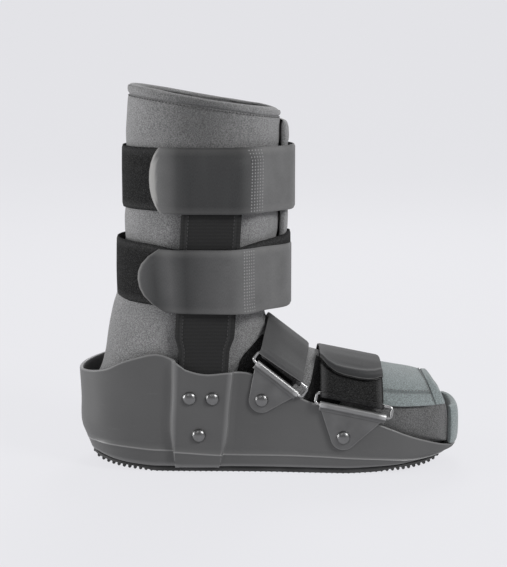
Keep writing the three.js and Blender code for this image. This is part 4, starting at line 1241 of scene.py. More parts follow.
# %% Make the bootie
HEM = 0.25
HEM_DEPTH = 0.0032
CUFF_UP = np.array([0.012, 0, 0.26]) / math.hypot(0.012, 0.26)
TOE_END_ROUND = np.array([0.0022, 0, 0])
SEAM_DEPTH = 0.0016
SIDE_SHADE = 0.52
LINER_COLUMNS = 104
HEEL_SHIFT = 0.0058
HEEL_LEVEL = 0.082
# How far forward the toe end's rim comes at each height
TOE_RIM = {0.0: 0.1402, 0.022: 0.1402, 0.039: 0.1391, 0.05: 0.1375, 0.066: 0.126, 0.1: 0.12}


def brought_forward(points, s):
    """The lower sides of the toe end run on towards the toe roll."""
    share = ease(s - TOE_SECTION + 1)
    want = np.interp(points[..., 2], list(TOE_RIM.keys()), list(TOE_RIM.values()))
    end = liner_point(TOE_SECTION, np.linspace(0, math.pi, 60), 0.0)
    rim = np.interp(points[..., 2], end[::-1, 2], end[::-1, 0])
    points = points.copy()
    points[..., 0] += share * np.maximum(0.0, want - rim)
    room = shell_half(points[..., 0]) - SHELL_WALL - 0.0006
    narrow = np.clip(room / np.maximum(1e-4, np.abs(points[..., 1])), 0.5, 1)
    points[..., 1] *= 1 - share * (1 - narrow)
    return points


def heel_upright(points):
    """The heel stands more upright over the shell's rim than the sections make it."""
    points = points.copy()
    behind = ease((-0.108 - points[..., 0]) / 0.03)
    points[..., 0] += HEEL_SHIFT * behind * hill(points[..., 2], HEEL_LEVEL, 0.02)
    return points


def turned_over(first, last, push, degrees):
    """Rows that lead from one edge round to another, pushed out on the way."""
    middle, half = (first + last) / 2, (first - last) / 2
    return [middle + half * math.cos(t) + push * math.sin(t) for t in np.radians(degrees)]


def make_liner():
    hem_rows = [0.0, 0.05, 0.11, 0.17, 0.215, HEM, 0.285, 0.34, 0.45, 0.6, 0.8]
    s = np.concatenate([hem_rows, np.arange(1, TOE_SECTION, 0.2), [TOE_SECTION - 0.1, TOE_SECTION]])
    angles = np.linspace(0, 2 * math.pi, LINER_COLUMNS, endpoint=False)
    seam = hill(s, HEM, 0.028)
    hem = np.clip(1 - np.abs(s - HEM / 2) / (HEM / 2), 0, 1) ** 0.5
    profile = 0.0008 * hem - SEAM_DEPTH * seam
    flat = liner_point(s[:, None], angles[None, :], 0.0)
    hold = pressed(flat)
    outer = liner_point(s[:, None], angles[None, :], profile[:, None] - PINCH * hold - 0.0002)
    inner = liner_point(s[:, None], angles[None, :], -LINER_WALL + 0.0002)
    outer, inner = (heel_upright(brought_forward(rows, s[:, None])) for rows in (outer, inner))
    inner = inner[::-1]
    lift = CUFF_UP * HEM_DEPTH
    roll = np.array(turned_over(inner[-1], outer[0], lift, [30, 60, 90, 120, 150])) - lift
    ends = turned_over(outer[-1], inner[0], TOE_END_ROUND, [45, 90, 135])
    outer[0] -= lift
    inner[-1] -= lift
    grid = np.vstack([outer, ends, inner, roll])
    fading = [0.6, 0.35, 0.15, 0.05, 0.0]
    inside = np.concatenate([np.zeros(len(outer)), np.ones(len(ends) + len(inner)), fading])
    # Painted shade: darker in the hem's seam groove, on the inside and in the turned hem, low on the
    # toe's sides beside the shell's rim, and on the cuff's sides
    shade = np.zeros(grid.shape[:2])
    shade[: len(outer)] = (0.4 * seam)[:, None]
    shade = np.maximum(shade, 0.5 * inside[:, None])
    low_side = ease((grid[..., 0] - 0.06) / 0.02) * ease((0.062 - grid[..., 2]) / 0.006)
    shade = np.maximum(shade, SIDE_SHADE * low_side)
    sides = hill(np.abs(angles - math.pi), math.radians(88), 0.5)
    at_cuff = ease(1.9 - s)[:, None] * sides[None, :]
    shade[: len(outer)] = np.maximum(shade[: len(outer)], SIDE_SHADE * at_cuff)
    liner = grid_object("padded_liner", grid, round_rows=True, paint={"shade": shade})
    fixed = np.zeros(grid.shape[:2])
    fixed[: len(outer)] = np.maximum(hold, seam[:, None])
    fixed[len(outer) : len(outer) + len(ends)] = 1
    swell(liner, fixed.ravel(), cap=0.0022)
    return subdivide(liner)


liner = make_liner()
dress(liner, "cover", "padding", "liner")


def hem_line(t, out):
    return liner_point(HEM + 0.035, 2 * math.pi * t, out)


sew("hem_stitches", [hem_line], "dark_thread", "padding", near=-0.0006)

# %% [markdown]
# ## Pads with rounded edges
# The front panel, the toe flap and the toe roll are slabs of foam. Each is a pillow: a flattened
# ring swept along the pad and shrunk at both ends. The ring runs in the pad's own directions, so
# the same function bends a pad round the leg, over the toes or upright in front of them.

# %% Pillow
def pillow(name, along, place, low, high, bottom, top, end=0.06, corner=4.5, sides=44, seam_at=None):
    """A closed pad. place(a, b, out) gives a point, with a along, b across and out from below."""
    turns = np.linspace(0, 2 * math.pi, sides, endpoint=False)
    c, d = squarish(np.cos(turns), corner), squarish(np.sin(turns), corner)
    rows, shade = [], []
    for a in along:
        share = (a - along[0]) / (along[-1] - along[0])
        near = min(1, min(share, 1 - share) / end)
        thick = 1.0 if near == 1 else math.sqrt(max(0.0, 1 - (1 - near) ** 2)) * 0.96 + 0.04
        b = (low + high) / 2 + (high - low) / 2 * c * (0.9 + 0.1 * thick)
        out = (bottom + top) / 2 + (top - bottom) / 2 * d * thick
        rows.append(place(a, b, out))
        shade.append(0 * b if seam_at is None else 0.7 * seam_at(a, b) * (d > 0))
    return grid_object(name, rows, caps=True, paint={"shade": np.array(shade)})


# %% Front panel, which laps over from the inner side
FRONT_FLAP_THICKNESS = 0.007
PANEL_EDGES = (-0.98, 3.98)
PANEL_LINE = 3.35
PRESS_DEPTH = 0.0012


def make_front_flap():
    steps = np.concatenate([np.linspace(0.35, 0.6, 8), np.arange(0.7, FOOT_START - 1.9, 0.12)])
    steps = np.concatenate([steps, np.linspace(FOOT_START - 1.86, FOOT_START - 1.6, 8)])

    def place(a, b, out):
        angle = b * SIDE_ANGLE
        thin = 1 - 0.3 * np.abs(np.sin(angle)) ** 3
        high = GAP + out * thin
        push = pressed(liner_point(a, angle, high))
        return liner_point(a, angle, high - PRESS_DEPTH * push * (out > 0.003))

    top = FRONT_FLAP_THICKNESS - 0.0004
    return pillow("front_panel", steps, place, *PANEL_EDGES, 0.0001, top)


front_flap = make_front_flap()
swell(front_flap, pressed(points_of(front_flap.data)), cap=0.0012)
subdivide(front_flap)
dress(front_flap, "cover", "padding", "front_flap")


def panel_line(t, out):
    """A line down the panel beside its inner edge."""
    first, last = 0.45, FOOT_START - 1.7
    high = GAP + FRONT_FLAP_THICKNESS - 0.0002 + out
    return liner_point(first + (last - first) * t, PANEL_LINE * SIDE_ANGLE, high)


sew("panel_stitches", [panel_line], "dark_thread", "padding")

# %% Toe flap
TOE_FLAP_THICKNESS = 0.0065
FLAP_EDGE = 4.98
BINDING = 0.0008
SIDE_LINE = 3.62


def toe_place(a, b, out):
    angle = b * SIDE_ANGLE
    thin = 1 - 0.35 * np.abs(np.sin(angle)) ** 3
    past = max(0.0, a - TOE_SECTION)
    side = np.abs(np.sin(angle)) ** 1.5
    point = liner_point(min(a, TOE_SECTION), angle, GAP + out * thin)
    point[:, 0] += past * (0.001 + 0.010 * side)
    point[:, 1] *= 1 - 0.17 * past * side
    return point


def front_line(b):
    """Where the binding of the front rim begins: a narrow band above, a wide one at the sides."""
    return TOE_SECTION - 0.22 + 0.34 * np.abs(np.sin(b * SIDE_ANGLE)) ** 1.5


def toe_seam(a, b):
    """Where the flap is sewn: along its front binding and its two side bands."""
    side = hill(np.abs(b), SIDE_LINE, 0.12) * (a < front_line(b))
    return np.maximum(hill(a, front_line(b), 0.05), side)


def make_toe_flap():
    steps = [
        np.linspace(TOE_SECTION - 3.4, TOE_SECTION - 3.1, 6),
        np.arange(TOE_SECTION - 3, TOE_SECTION - 0.35, 0.12),
        np.arange(TOE_SECTION - 0.3, TOE_SECTION + 0.75, 0.05),
        np.linspace(TOE_SECTION + 0.8, TOE_SECTION + 1, 7),
    ]
    steps = np.concatenate(steps)

    def place(a, b, out):
        bound = BINDING * ease((a - front_line(b)) / 0.06)
        bound += 0.0003 * ease((np.abs(b) - SIDE_LINE) / 0.1)
        raised = (bound - BINDING * toe_seam(a, b)) * (out > TOE_FLAP_THICKNESS / 2)
        return toe_place(a, b, out + raised)

    top = TOE_FLAP_THICKNESS - 0.0003
    shape = (steps, place, -FLAP_EDGE, FLAP_EDGE, 0.0001, top)
    return pillow("toe_flap_pad", *shape, sides=110, seam_at=toe_seam)


toe_flap = make_toe_flap()
under_strap = ease((0.095 - points_of(toe_flap.data)[:, 0]) / 0.004)
sewn = np.array([value.value > 0.25 for value in toe_flap.data.attributes["shade"].data])
swell(toe_flap, np.maximum(under_strap, sewn), cap=0.0012)
subdivide(toe_flap)
dress(toe_flap, "toe", "padding", "toe_flap")


def toe_side_seam(sign):
    """Stitches above the band along one side of the toe flap."""

    def place(t, out):
        a = TOE_SECTION - 2.3 + 2.3 * t
        b = np.array([sign * (SIDE_LINE - 0.22)])
        return np.vstack([toe_place(one, b, TOE_FLAP_THICKNESS + out) for one in a])

    return place


def toe_front_seam(t, out):
    high = TOE_FLAP_THICKNESS + out
    rows = [toe_place(float(front_line(b)) - 0.09, np.array([b]), high) for b in -4.6 + 9.2 * t]
    return np.vstack(rows)


lines = [toe_side_seam(-1), toe_side_seam(1), toe_front_seam]
sew("toe_stitches", lines, "grey_thread", "padding", near=-0.0004)

# %% Toe roll
BUMPER_THICKNESS = 0.0095
BUMPER_HEIGHT = 0.0485
BUMPER_WIDTH = 0.062
BUMPER_REACH = 0.013


def bumper_place(turn, b, out):
    """b runs up the wall from 0 to 1 and out is measured in from the front."""
    grow = -out
    c = math.cos(turn) ** 0.8
    d = math.copysign(abs(math.sin(turn)) ** 0.9, turn)
    x = BOOT_LENGTH / 2 - BUMPER_REACH + np.maximum(0.001, BUMPER_REACH + grow) * c
    low = np.maximum(foot_bed(x), rim_height(x)) + GAP
    return np.stack([x, (BUMPER_WIDTH / 2 + grow) * d, low + b * (BUMPER_HEIGHT - low)], axis=-1)


def make_toe_bumper():
    steps = np.linspace(math.radians(-80), math.radians(80), 61)
    shape = (steps, bumper_place, 0.0, 1.0, BUMPER_THICKNESS, 0.0002)
    return pillow("toe_roll", *shape, end=0.03, corner=2.8, sides=40)


toe_bumper = make_toe_bumper()
swell(toe_bumper, points_of(toe_bumper.data)[:, 2] < 0.022, cap=0.0006)
subdivide(toe_bumper)
dress(toe_bumper, "toe", "padding", "toe_bumper")

# %% [markdown]
# ## Uprights' sleeves
# Each upright runs in a flat tube of black webbing. The webbing's weave needs its own UV map in
# metres, which the grid gives, and its two sewn edges are shallow grooves with a lighter thread.

# %% Make a sleeve
LOW_STRUT_INNER = CHANNEL_HALF - SHELL_WALL - 2 * GAP - SLEEVE_WALL - STRUT_THICKNESS - GAP
GROOVE_SHARE = 0.76
GROOVE_DEPTH = 0.00025


def shaft_half(z):
    rows = SECTIONS[:FOOT_START]
    heights = (rows[:, 1] + rows[:, 3]) / 2
    return smooth_curve(-heights, rows[:, 4], -z)


def strut_inner(z):
    return np.maximum(LOW_STRUT_INNER, shaft_half(z) + 3 * GAP + SLEEVE_WALL)


def strut_outer(z):
    return strut_inner(z) + STRUT_THICKNESS


def sleeve_half(z):
    """Half the width of a sleeve, which is narrower inside the shell's channel."""
    free = ease((z - RIM_HEIGHT - 0.001) / 0.014)
    return (SLEEVE_NECK + (SLEEVE_WIDTH - SLEEVE_NECK) * free) / 2


def make_sleeve(side, sign):
    z = np.linspace(SLEEVE_TOP, SLEEVE_BOTTOM, 90)
    half = sleeve_half(z)
    low = strut_inner(z) - GAP - SLEEVE_WALL
    high = strut_outer(z) + GAP + SLEEVE_WALL
    low, high = (np.convolve(np.pad(v, 4, "edge"), np.ones(9) / 9, "valid") for v in (low, high))
    across = np.concatenate([np.linspace(-1, 1, 33), np.linspace(1, -1, 33)])
    front = np.concatenate([np.ones(33), -np.ones(33)])
    edge = np.clip((1 - np.abs(across)) / 0.06, 0, 1) ** 0.5
    groove = GROOVE_DEPTH * hill(np.abs(across), GROOVE_SHARE, 0.03)
    depth = (high - low)[:, None] / 2 * edge[None, :] * front[None, :] - groove * front
    x = strut_x(z)[:, None] + half[:, None] * across[None, :]
    y = sign * ((high + low)[:, None] / 2 + depth)
    grid = np.stack([x, y, np.broadcast_to(z[:, None], x.shape)], axis=-1)
    thread = 0.5 * hill(np.abs(across), 0.8, 0.012)
    return grid_object("sleeve_" + side, grid, caps=True, paint={"shade": thread})


# The outer side is near the camera, at negative Y
SIDES = {"near": -1, "far": 1}
for side, sign in SIDES.items():
    sleeve = make_sleeve(side, sign)
    dress(sleeve, "weave", "woven", "strut_sleeve_" + side)


# %% Stitches of the sleeves
def sleeve_seam(sign, across):
    """A line down the outer face of a sleeve."""

    def place(t, out):
        z = SLEEVE_TOP + (SLEEVE_BOTTOM - SLEEVE_TOP) * (0.01 + 0.98 * t)
        high = strut_outer(z) + GAP + SLEEVE_WALL
        return np.stack([strut_x(z) + sleeve_half(z) * across, sign * (high + out), z], axis=-1)

    return place


GROOVES = (-GROOVE_SHARE, GROOVE_SHARE)
lines = [sleeve_seam(sign, across) for sign in SIDES.values() for across in GROOVES]
sew("sleeve_stitches", lines, "dark_thread", "woven", near=-0.0001)

# %% Uprights keep their solids and get enamel
for side in SIDES:
    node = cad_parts["strut_" + side]
    node.data.materials.clear()
    node.data.materials.append(FINISHES["enamel"])

# %% [markdown]
# ## Where a strap lies
# A strap under tension takes the shortest way round what is under it. That way is the convex hull
# of the slice through those pieces: it touches their high places and bridges their hollows. The
# slice is cut through the frame's solids, its hull is resampled by angle and lightly smoothed,
# and the strap stands on it by its gap and thickness.

# %% Slice, hull and path
def node_triangles(names):
    found = []
    for name in names:
        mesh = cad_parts[name].data
        mesh.calc_loop_triangles()
        found.append(points_of(mesh)[np.array([t.vertices for t in mesh.loop_triangles])])
    return np.concatenate(found)


def sliced(triangles, origin, across, up):
    """Where a plane cuts the triangles, as points of that plane."""
    normal = np.cross(across, up)
    local = triangles - origin
    side = local @ normal
    points = []
    for i in range(3):
        j = (i + 1) % 3
        cut = side[:, i] * side[:, j] < 0
        t = side[cut, i] / (side[cut, i] - side[cut, j])
        crossing = local[cut, i] + (local[cut, j] - local[cut, i]) * t[:, None]
        points.append(np.stack([crossing @ across, crossing @ up], axis=1))
    return np.concatenate(points)


def hull(points):
    """The convex outline round flat points."""
    ordered = sorted(set(map(tuple, np.round(points, 7))))

    def chain(list_of_points):
        out = []
        for p in list_of_points:
            while len(out) > 1:
                o, a = out[-2], out[-1]
                if (a[0] - o[0]) * (p[1] - o[1]) - (a[1] - o[1]) * (p[0] - o[0]) > 0:
                    break
                out.pop()
            out.append(p)
        return out[:-1]

    return np.array(chain(ordered) + chain(ordered[::-1]))


def reach_of(outline, centre, angles):
    """Distance from the centre to a convex outline in each direction."""
    a = outline - centre
    b = np.roll(a, -1, axis=0)
    edge = b - a
    reach = np.zeros(len(angles))
    for k, angle in enumerate(angles):
        direction = np.array([math.cos(angle), math.sin(angle)])
        cross = direction[0] * edge[:, 1] - direction[1] * edge[:, 0]
        cross = np.where(np.abs(cross) < 1e-12, 1e-12, cross)
        t = (a[:, 0] * edge[:, 1] - a[:, 1] * edge[:, 0]) / cross
        u = (a[:, 0] * direction[1] - a[:, 1] * direction[0]) / cross
        hit = (t > 0) & (u > -1e-6) & (u < 1 + 1e-6)
        reach[k] = t[hit].max() if hit.any() else 0
    return reach


ROUND_STEPS = 240
LEVELS = 7


def wrap_reach(triangles, z, spread):
    """Centre and reach by angle of what lies under a calf strap near a height."""
    across, up = np.array([1.0, 0, 0]), np.array([0, 1.0, 0])
    levels = np.linspace(-spread, spread, 5)
    points = np.concatenate(
        [sliced(triangles, np.array([0, 0, z + lift]), across, up) for lift in levels]
    )
    outline = hull(points)
    centre = np.array([(outline[:, 0].min() + outline[:, 0].max()) / 2, 0])
    angles = np.linspace(-math.pi, math.pi, ROUND_STEPS, endpoint=False)
    reach = reach_of(outline, centre, angles)
    widest = np.max([np.roll(reach, k) for k in range(-2, 3)], axis=0)
    kernel = np.exp(-(np.arange(-5, 6) ** 2) / 8.0)
    padded = np.concatenate([widest[-5:], widest, widest[:5]])
    return centre, angles, np.convolve(padded, kernel / kernel.sum(), "valid")


# %% Calf straps: soft pile all round
SHAFT_NODES = ["liner", "front_flap", "strut_sleeve_near", "strut_sleeve_far"]
SHAFT_TRIANGLES = node_triangles(SHAFT_NODES)


class Wrap:
    """The way round the leg at several heights, as one smooth surface."""

    def __init__(self, triangles, low, high):
        self.heights = np.linspace(low, high, LEVELS)
        spread = (high - low) / (LEVELS - 1) / 2
        rows = [wrap_reach(triangles, z, spread) for z in self.heights]
        self.centre_x = float(np.mean([row[0][0] for row in rows]))
        self.angles = rows[0][1]
        self.table = np.array([row[2] for row in rows])
        front = hill(self.angles, 0, math.radians(48))
        self.table += front * (self.table.max(axis=0) - self.table)

    def point(self, angle, z, out):
        angle, z, out = together(angle, z, out)
        turn = (angle + math.pi) % (2 * math.pi) / (2 * math.pi) * ROUND_STEPS
        i = np.floor(turn).astype(int) % ROUND_STEPS
        f = turn - np.floor(turn)
        share = (z - self.heights[0]) / (self.heights[-1] - self.heights[0])
        level = np.clip(share, 0, 1) * (LEVELS - 1)
        k = np.minimum(LEVELS - 2, np.floor(level).astype(int))
        g = level - k
        j = (i + 1) % ROUND_STEPS
        low = self.table[k, i] * (1 - f) + self.table[k, j] * f
        high = self.table[k + 1, i] * (1 - f) + self.table[k + 1, j] * f
        reach = low * (1 - g) + high * g + out
        x = self.centre_x + reach * np.cos(angle)
        return np.stack([x, reach * np.sin(angle), z], axis=-1)


def band_grid(outer, inner):
    """Rows across a strap: over its outer face, round its edges and back under it."""
    return np.concatenate([outer, inner[:, ::-1]], axis=1)


def both_faces(paint):
    """What is painted across the outer face of a strap, and the same on its inner face."""
    return np.concatenate([paint, paint[..., ::-1]], axis=-1)


def loosened(strap, angle):
    """How far a strap's front stands off the leg, and how far its soft layer rises there."""
    front = hill(angle, 0, math.radians(26))
    side = hill(angle, -math.radians(88), math.radians(42))
    return strap["loose"] * front, strap["skew"] * (0.75 * front - side)


def make_calf_pile(name, wrap, strap):
    middle = strap["pile"] * BOOT_HEIGHT
    columns = np.linspace(0, 2 * math.pi, 200, endpoint=False)
    across = np.array([-1, -0.985, -0.9, -0.7, -0.45, -0.2, 0.0, 0.2, 0.45, 0.7, 0.9, 0.985, 1])
    around = (columns[:, None] + math.pi) % (2 * math.pi) - math.pi
    off, lift = loosened(strap, around)
    z = middle + across[None, :] * PILE_WIDTH / 2 + lift
    crown = 1 - 0.35 * (np.abs(across[None, :]) > 0.95)
    outer = wrap.point(around, z, GAP + PILE_THICKNESS * crown + off)
    grid = band_grid(outer, wrap.point(around, z, GAP + off))
    shade = both_faces(0.35 * hill(np.abs(across), 0.93, 0.025))
    return grid_object(name, grid, round_rows=True, paint={"shade": shade})


wraps = {}
for name, strap in CALF_STRAPS.items():
    middle = strap["pile"] * BOOT_HEIGHT
    wraps[name] = Wrap(SHAFT_TRIANGLES, middle - PILE_WIDTH / 2, middle + PILE_WIDTH / 2)
    pile = make_calf_pile(name + "_pile_band", wraps[name], strap)
    dress(pile, "pile", "pile", name + "_strap_pile")

# %% Calf straps: smooth strap with its rounded tab
def under_smooth(strap, angle):
    """How far the smooth strap's inner face stands off what the soft strap lies on."""
    return 1.5 * GAP + PILE_THICKNESS + GAP + loosened(strap, angle)[0]


def make_calf_smooth(name, wrap, strap):
    middle = strap["smooth"] * BOOT_HEIGHT
    steps = np.linspace(0, 1, 170)
    across = np.array([-1, -0.99, -0.93, -0.75, -0.5, -0.25, 0, 0.25, 0.5, 0.75, 0.93, 0.99, 1])
    tip, end = math.radians(strap["tip"]), math.radians(strap["end"])
    corner = math.radians(strap["round"]) * np.abs(across) ** 2.4
    fade = np.clip(1 - steps / 0.16, 0, 1)
    angle = tip + (end - tip) * steps[:, None] + corner[None, :] * fade[:, None]
    z = np.broadcast_to((middle + across * STRAP_WIDTH / 2)[None, :], angle.shape)
    thin = 1 - 0.45 * (np.abs(across) > 0.98)
    start = np.clip(steps / 0.008, 0.3, 1)[:, None]
    under = under_smooth(strap, angle)
    outer = wrap.point(angle, z, under + STRAP_THICKNESS * thin[None, :] * start)
    grid = band_grid(outer, wrap.point(angle, z, under))
    rim = 0.1 * hill(np.abs(across), 0.95, 0.03)
    edge = np.clip(1 - steps[:, None] / 0.012, 0, 1) * 0.35
    straight = tip + math.radians(strap["round"] * 0.9)
    patch = strap["patch"] * ease((straight - angle) / 0.02)
    shade = np.maximum(np.maximum(rim[None, :], edge), patch)
    # painted sheen by angle along the strap; the upper strap's dark middle is its printed panel
    degrees, levels = list(strap["worn"].keys()), list(strap["worn"].values())
    worn = np.interp(np.degrees(angle), degrees, levels)
    paint = {"shade": both_faces(shade), "worn": both_faces(worn)}
    return grid_object(name, grid, caps=True, paint=paint)


for name, strap in CALF_STRAPS.items():
    middle = strap["smooth"] * BOOT_HEIGHT
    low, high = middle - STRAP_WIDTH / 2, middle + STRAP_WIDTH / 2
    wrap = Wrap(SHAFT_TRIANGLES, low, high)
    wraps[name + "_smooth"] = wrap
    smooth = make_calf_smooth(name + "_smooth_band", wrap, strap)
    dress(smooth, "strap", "strap", name + "_strap_smooth")

# %% Welded dots, where the hook tab is joined to each calf strap
DOT_SIZE = (0.00072, 0.00072, 0.00036)
DOT_COLUMNS = 5
DOT_ROWS = 20
DOT_REACH = 0.0228


def weld_dots(name, strap):
    middle = strap["smooth"] * BOOT_HEIGHT
    wrap = wraps[name + "_smooth"]
    first, last = np.radians(strap["weld"])
    heights = middle + np.linspace(-DOT_REACH, DOT_REACH, DOT_ROWS)
    angle, z = np.meshgrid(np.linspace(first, last, DOT_COLUMNS), heights)
    angle, z = angle.ravel(), z.ravel()
    out = under_smooth(strap, angle) + STRAP_THICKNESS - 0.0001
    places = wrap.point(angle, z, out)
    steps = wrap.point(angle + 0.03, z, out) - wrap.point(angle - 0.03, z, out)
    outs = np.cross(steps, np.array([0, 0, 1.0]))
    return marks("weld_dots_" + name, places, steps, outs, DOT_SIZE, "weld", "strap", 10, 6)


for name, strap in CALF_STRAPS.items():
    weld_dots(name, strap)

# %% [markdown]
# ## Brackets and rings of the foot straps
# A steel plate is riveted to the shell's wall. Its top edge is rolled round one side of a wire
# ring, and the strap runs through the ring. The directions come first: along the rolled edge, out
# of the wall and up the ring. Then each piece is a short sweep in those directions.

# %% Directions of one foot strap
WIRE_RADIUS = 0.0012
BARREL_RADIUS = 0.0025
PLATE_THICKNESS = 0.0015
RING_HEIGHT = 0.0085
RING_TILT = 0.26
RING_CORNER = 0.0024
RING_SIDE_ROOM = 0.0036
STRAP_BACK = 0.0024
RIVET_HEAD = 0.0105
RIVET_DOME = 0.0028
RIVET_FLANGE = 0.0008
# "bar" and "rivet" are shares of the boot's length and the rim's height. "slope" tilts the rolled
# edge and "lean" the strap's plane, in radians. "width" is a share of STRAP_WIDTH, and "free" is
# how high the loose end stops above the ring, at shares of the strap's width.
FOOT_STRAPS = {
    "instep": {
        "bar": (0.5184, 0.8116),
        "rivet": (0.4787, 0.6243),
        "slope": 0.66,
        "lean": 0.34,
        "width": 0.76,
        "free": {-0.5: -0.0012, 0.0: 0.0, 0.5: 0.0016},
    },
    "forefoot": {
        "bar": (0.7095, 0.5513),
        "rivet": (0.6866, 0.3228),
        "slope": 0.2,
        "lean": 0.04,
        "width": 1.0,
        "free": {-0.5: 0.0215, -0.3: 0.0155, 0.0: 0.0136, 0.3: 0.0142, 0.5: 0.0175},
    },
}


def wall_line(start, end):
    """A straight line beside the shell's wall: its turn in plan, and its distance from the middle."""
    a = np.array([start, float(shell_half(start))])
    b = np.array([end, float(shell_half(end))])
    along = unit(b - a)
    x = np.linspace(start, end, 9)
    proud = (shell_half(x) - a[1]) * along[0] - (x - a[0]) * along[1]
    yaw = math.atan2(along[1], along[0])
    shift = max(0.0, float(proud.max())) + GAP
    return yaw, lambda at: a[1] + (at - start) * math.tan(yaw) + shift / math.cos(yaw)


class StrapFrame:
    """Where one foot strap's bracket and ring sit on the outer side."""

    def __init__(self, strap):
        self.width = strap["width"] * STRAP_WIDTH
        self.back = STRAP_BACK / self.width
        self.slope = strap["slope"]
        self.free = strap["free"]
        self.bar_x, self.bar_z = boot_x(strap["bar"][0]), strap["bar"][1] * RIM_HEIGHT
        self.rivet_x, self.rivet_z = boot_x(strap["rivet"][0]), strap["rivet"][1] * RIM_HEIGHT
        self.half = self.width / 2 + RING_SIDE_ROOM + WIRE_RADIUS
        self.yaw, self.wall = wall_line(self.bar_x - self.half, self.bar_x + self.half)
        cos, sin = math.cos(self.slope), math.sin(self.slope)
        self.along = unit(np.array([cos, -cos * math.tan(self.yaw), -sin]))
        self.outward = np.array([-math.sin(self.yaw), -math.cos(self.yaw), 0])
        up = unit(np.cross(self.along, self.outward))
        self.up = up if up[2] > 0 else -up
        self.out = unit(self.outward - self.along * (self.outward @ self.along))
        place = np.array([self.bar_x, -self.wall(self.bar_x), self.bar_z])
        self.bar = place + self.outward * BARREL_RADIUS
        self.lean = self.up * math.cos(RING_TILT) - self.out * math.sin(RING_TILT)
        self.wire = self.bar + self.lean * RING_HEIGHT
        self.wide = np.array([cos, 0, -sin])
        self.rise = np.array([math.sin(strap["lean"]), 0, math.cos(strap["lean"])])
        self.hold = -self.wire[1]
        self.spread = cos * math.tan(self.yaw) * self.width / self.hold

    def on_wall(self, x, z, out):
        """A point beside the wall from its place along it, its height and how far out it is."""
        x, z, out = together(x, z, out)
        cos, sin = math.cos(self.yaw), math.sin(self.yaw)
        return np.stack([x * cos - out * sin, -x * sin - out * cos - self.wall(0), z], axis=-1)


STRAPS = {name: StrapFrame(strap) for name, strap in FOOT_STRAPS.items()}

# %% Sweeps for plates, rods and wires
def mirrored(grid, sign):
    """The grid as it is for the outer side, or turned over to the inner side."""
    return np.asarray(grid) * np.array([1, -sign, 1])


def inset_outline(outline, amount):
    """A closed outline moved in by an amount."""
    before = outline - np.roll(outline, 1, axis=0)
    after = np.roll(outline, -1, axis=0) - outline
    normal = np.stack([-(before + after)[:, 1], (before + after)[:, 0]], axis=1)
    x, y = outline.T
    area = np.sum(x * np.roll(y, -1) - y * np.roll(x, -1))
    normal *= np.sign(area) / np.linalg.norm(normal, axis=1)[:, None]
    return outline + normal * amount


def denser(outline, step):
    """The same closed outline with a point about every step."""
    points = []
    for a, b in zip(outline, np.roll(outline, -1, axis=0)):
        count = max(1, int(round(np.linalg.norm(b - a) / step)))
        points += [a + (b - a) * k / count for k in range(count)]
    return np.array(points)


def wire_grid(points, normal, radius, sides=16):
    """A round wire round a flat loop of points."""
    points = np.asarray(points)
    tangent = np.roll(points, -1, axis=0) - np.roll(points, 1, axis=0)
    tangent /= np.linalg.norm(tangent, axis=1)[:, None]
    sideways = np.cross(tangent, normal)
    turn = np.linspace(0, 2 * math.pi, sides, endpoint=False)
    return points[:, None] + radius * (
        sideways[:, None] * np.cos(turn)[None, :, None] + normal * np.sin(turn)[None, :, None]
    )


def rod_grid(start, end, radius, sides, chamfer=0.0004):
    """A rod with softened ends."""
    axis = unit(end - start)
    side = unit(np.cross(axis, [0, 0, 1.0]))
    other = np.cross(axis, side)
    turn = np.linspace(0, 2 * math.pi, sides, endpoint=False)
    ring = side * np.cos(turn)[:, None] + other * np.sin(turn)[:, None]
    length = np.linalg.norm(end - start)
    stations = [(0, radius - chamfer), (0.4 * chamfer, radius - 0.3 * chamfer), (chamfer, radius)]
    stations += [(length - at, size) for at, size in stations[::-1]]
    middle = [(length * k / 8, radius) for k in range(1, 8)]
    stations = stations[:3] + middle + stations[3:]
    return [start + axis * at + ring * size for at, size in stations]


# %% Plate and rolled edge of a bracket
PLATE_INSET = 0.003
PLATE_STEP = 0.002
ROD_SIDES = 28
ROLL_LIP = 0.0006
ROLL_DROP = 0.0052


def plate_outline(strap):
    """From the rolled edge down to the eye round the rivet, in the wall's plane."""
    reach = strap.half - PLATE_INSET
    cos = math.cos(strap.yaw)
    level, drop = reach * math.cos(strap.slope), reach * math.sin(strap.slope)
    back = np.array([(strap.bar_x - level) / cos, strap.bar_z + drop])
    front = np.array([(strap.bar_x + level) / cos, strap.bar_z - drop])
    eye = np.array([strap.rivet_x / cos, strap.rivet_z])
    radius = RIVET_HEAD * 0.95
    to_back, to_front = back - eye, front - eye
    start = math.atan2(to_back[1], to_back[0]) + math.acos(radius / np.linalg.norm(to_back))
    end = math.atan2(to_front[1], to_front[0]) - math.acos(radius / np.linalg.norm(to_front))
    sweep = np.linspace(start, end + 2 * math.pi, 30)
    arc = eye + radius * np.stack([np.cos(sweep), np.sin(sweep)], axis=1)
    top = denser(np.vstack([front, back]), PLATE_STEP)[:-1]
    return np.vstack([top[: int(2 * reach / PLATE_STEP)], [back], arc])


def make_plate(name, strap, sign):
    outline = denser(plate_outline(strap), 0.0018)
    # each level: inset, height, and painted highlight on the plate's bevel
    levels = [
        (0.0, 0.0, 0.0),
        (0.0, PLATE_THICKNESS * 0.5, 0.0),
        (0.0, PLATE_THICKNESS - 0.0004, 0.1),
        (0.00015, PLATE_THICKNESS - 0.0001, 0.2),
        (0.0005, PLATE_THICKNESS, 0.05),
        (0.0009, PLATE_THICKNESS, 0.0),
    ]
    rings, edge = [], []
    for inset, out, painted_highlight in levels:
        ring = inset_outline(outline, inset)
        rings.append(strap.on_wall(ring[:, 0], ring[:, 1], out))
        edge.append(np.full(len(outline), painted_highlight))
    plate = grid_object(name, mirrored(rings, sign), caps=True, paint={"edge": np.array(edge)})
    for polygon in plate.data.polygons:
        polygon.use_smooth = len(polygon.vertices) > 3
    return plate


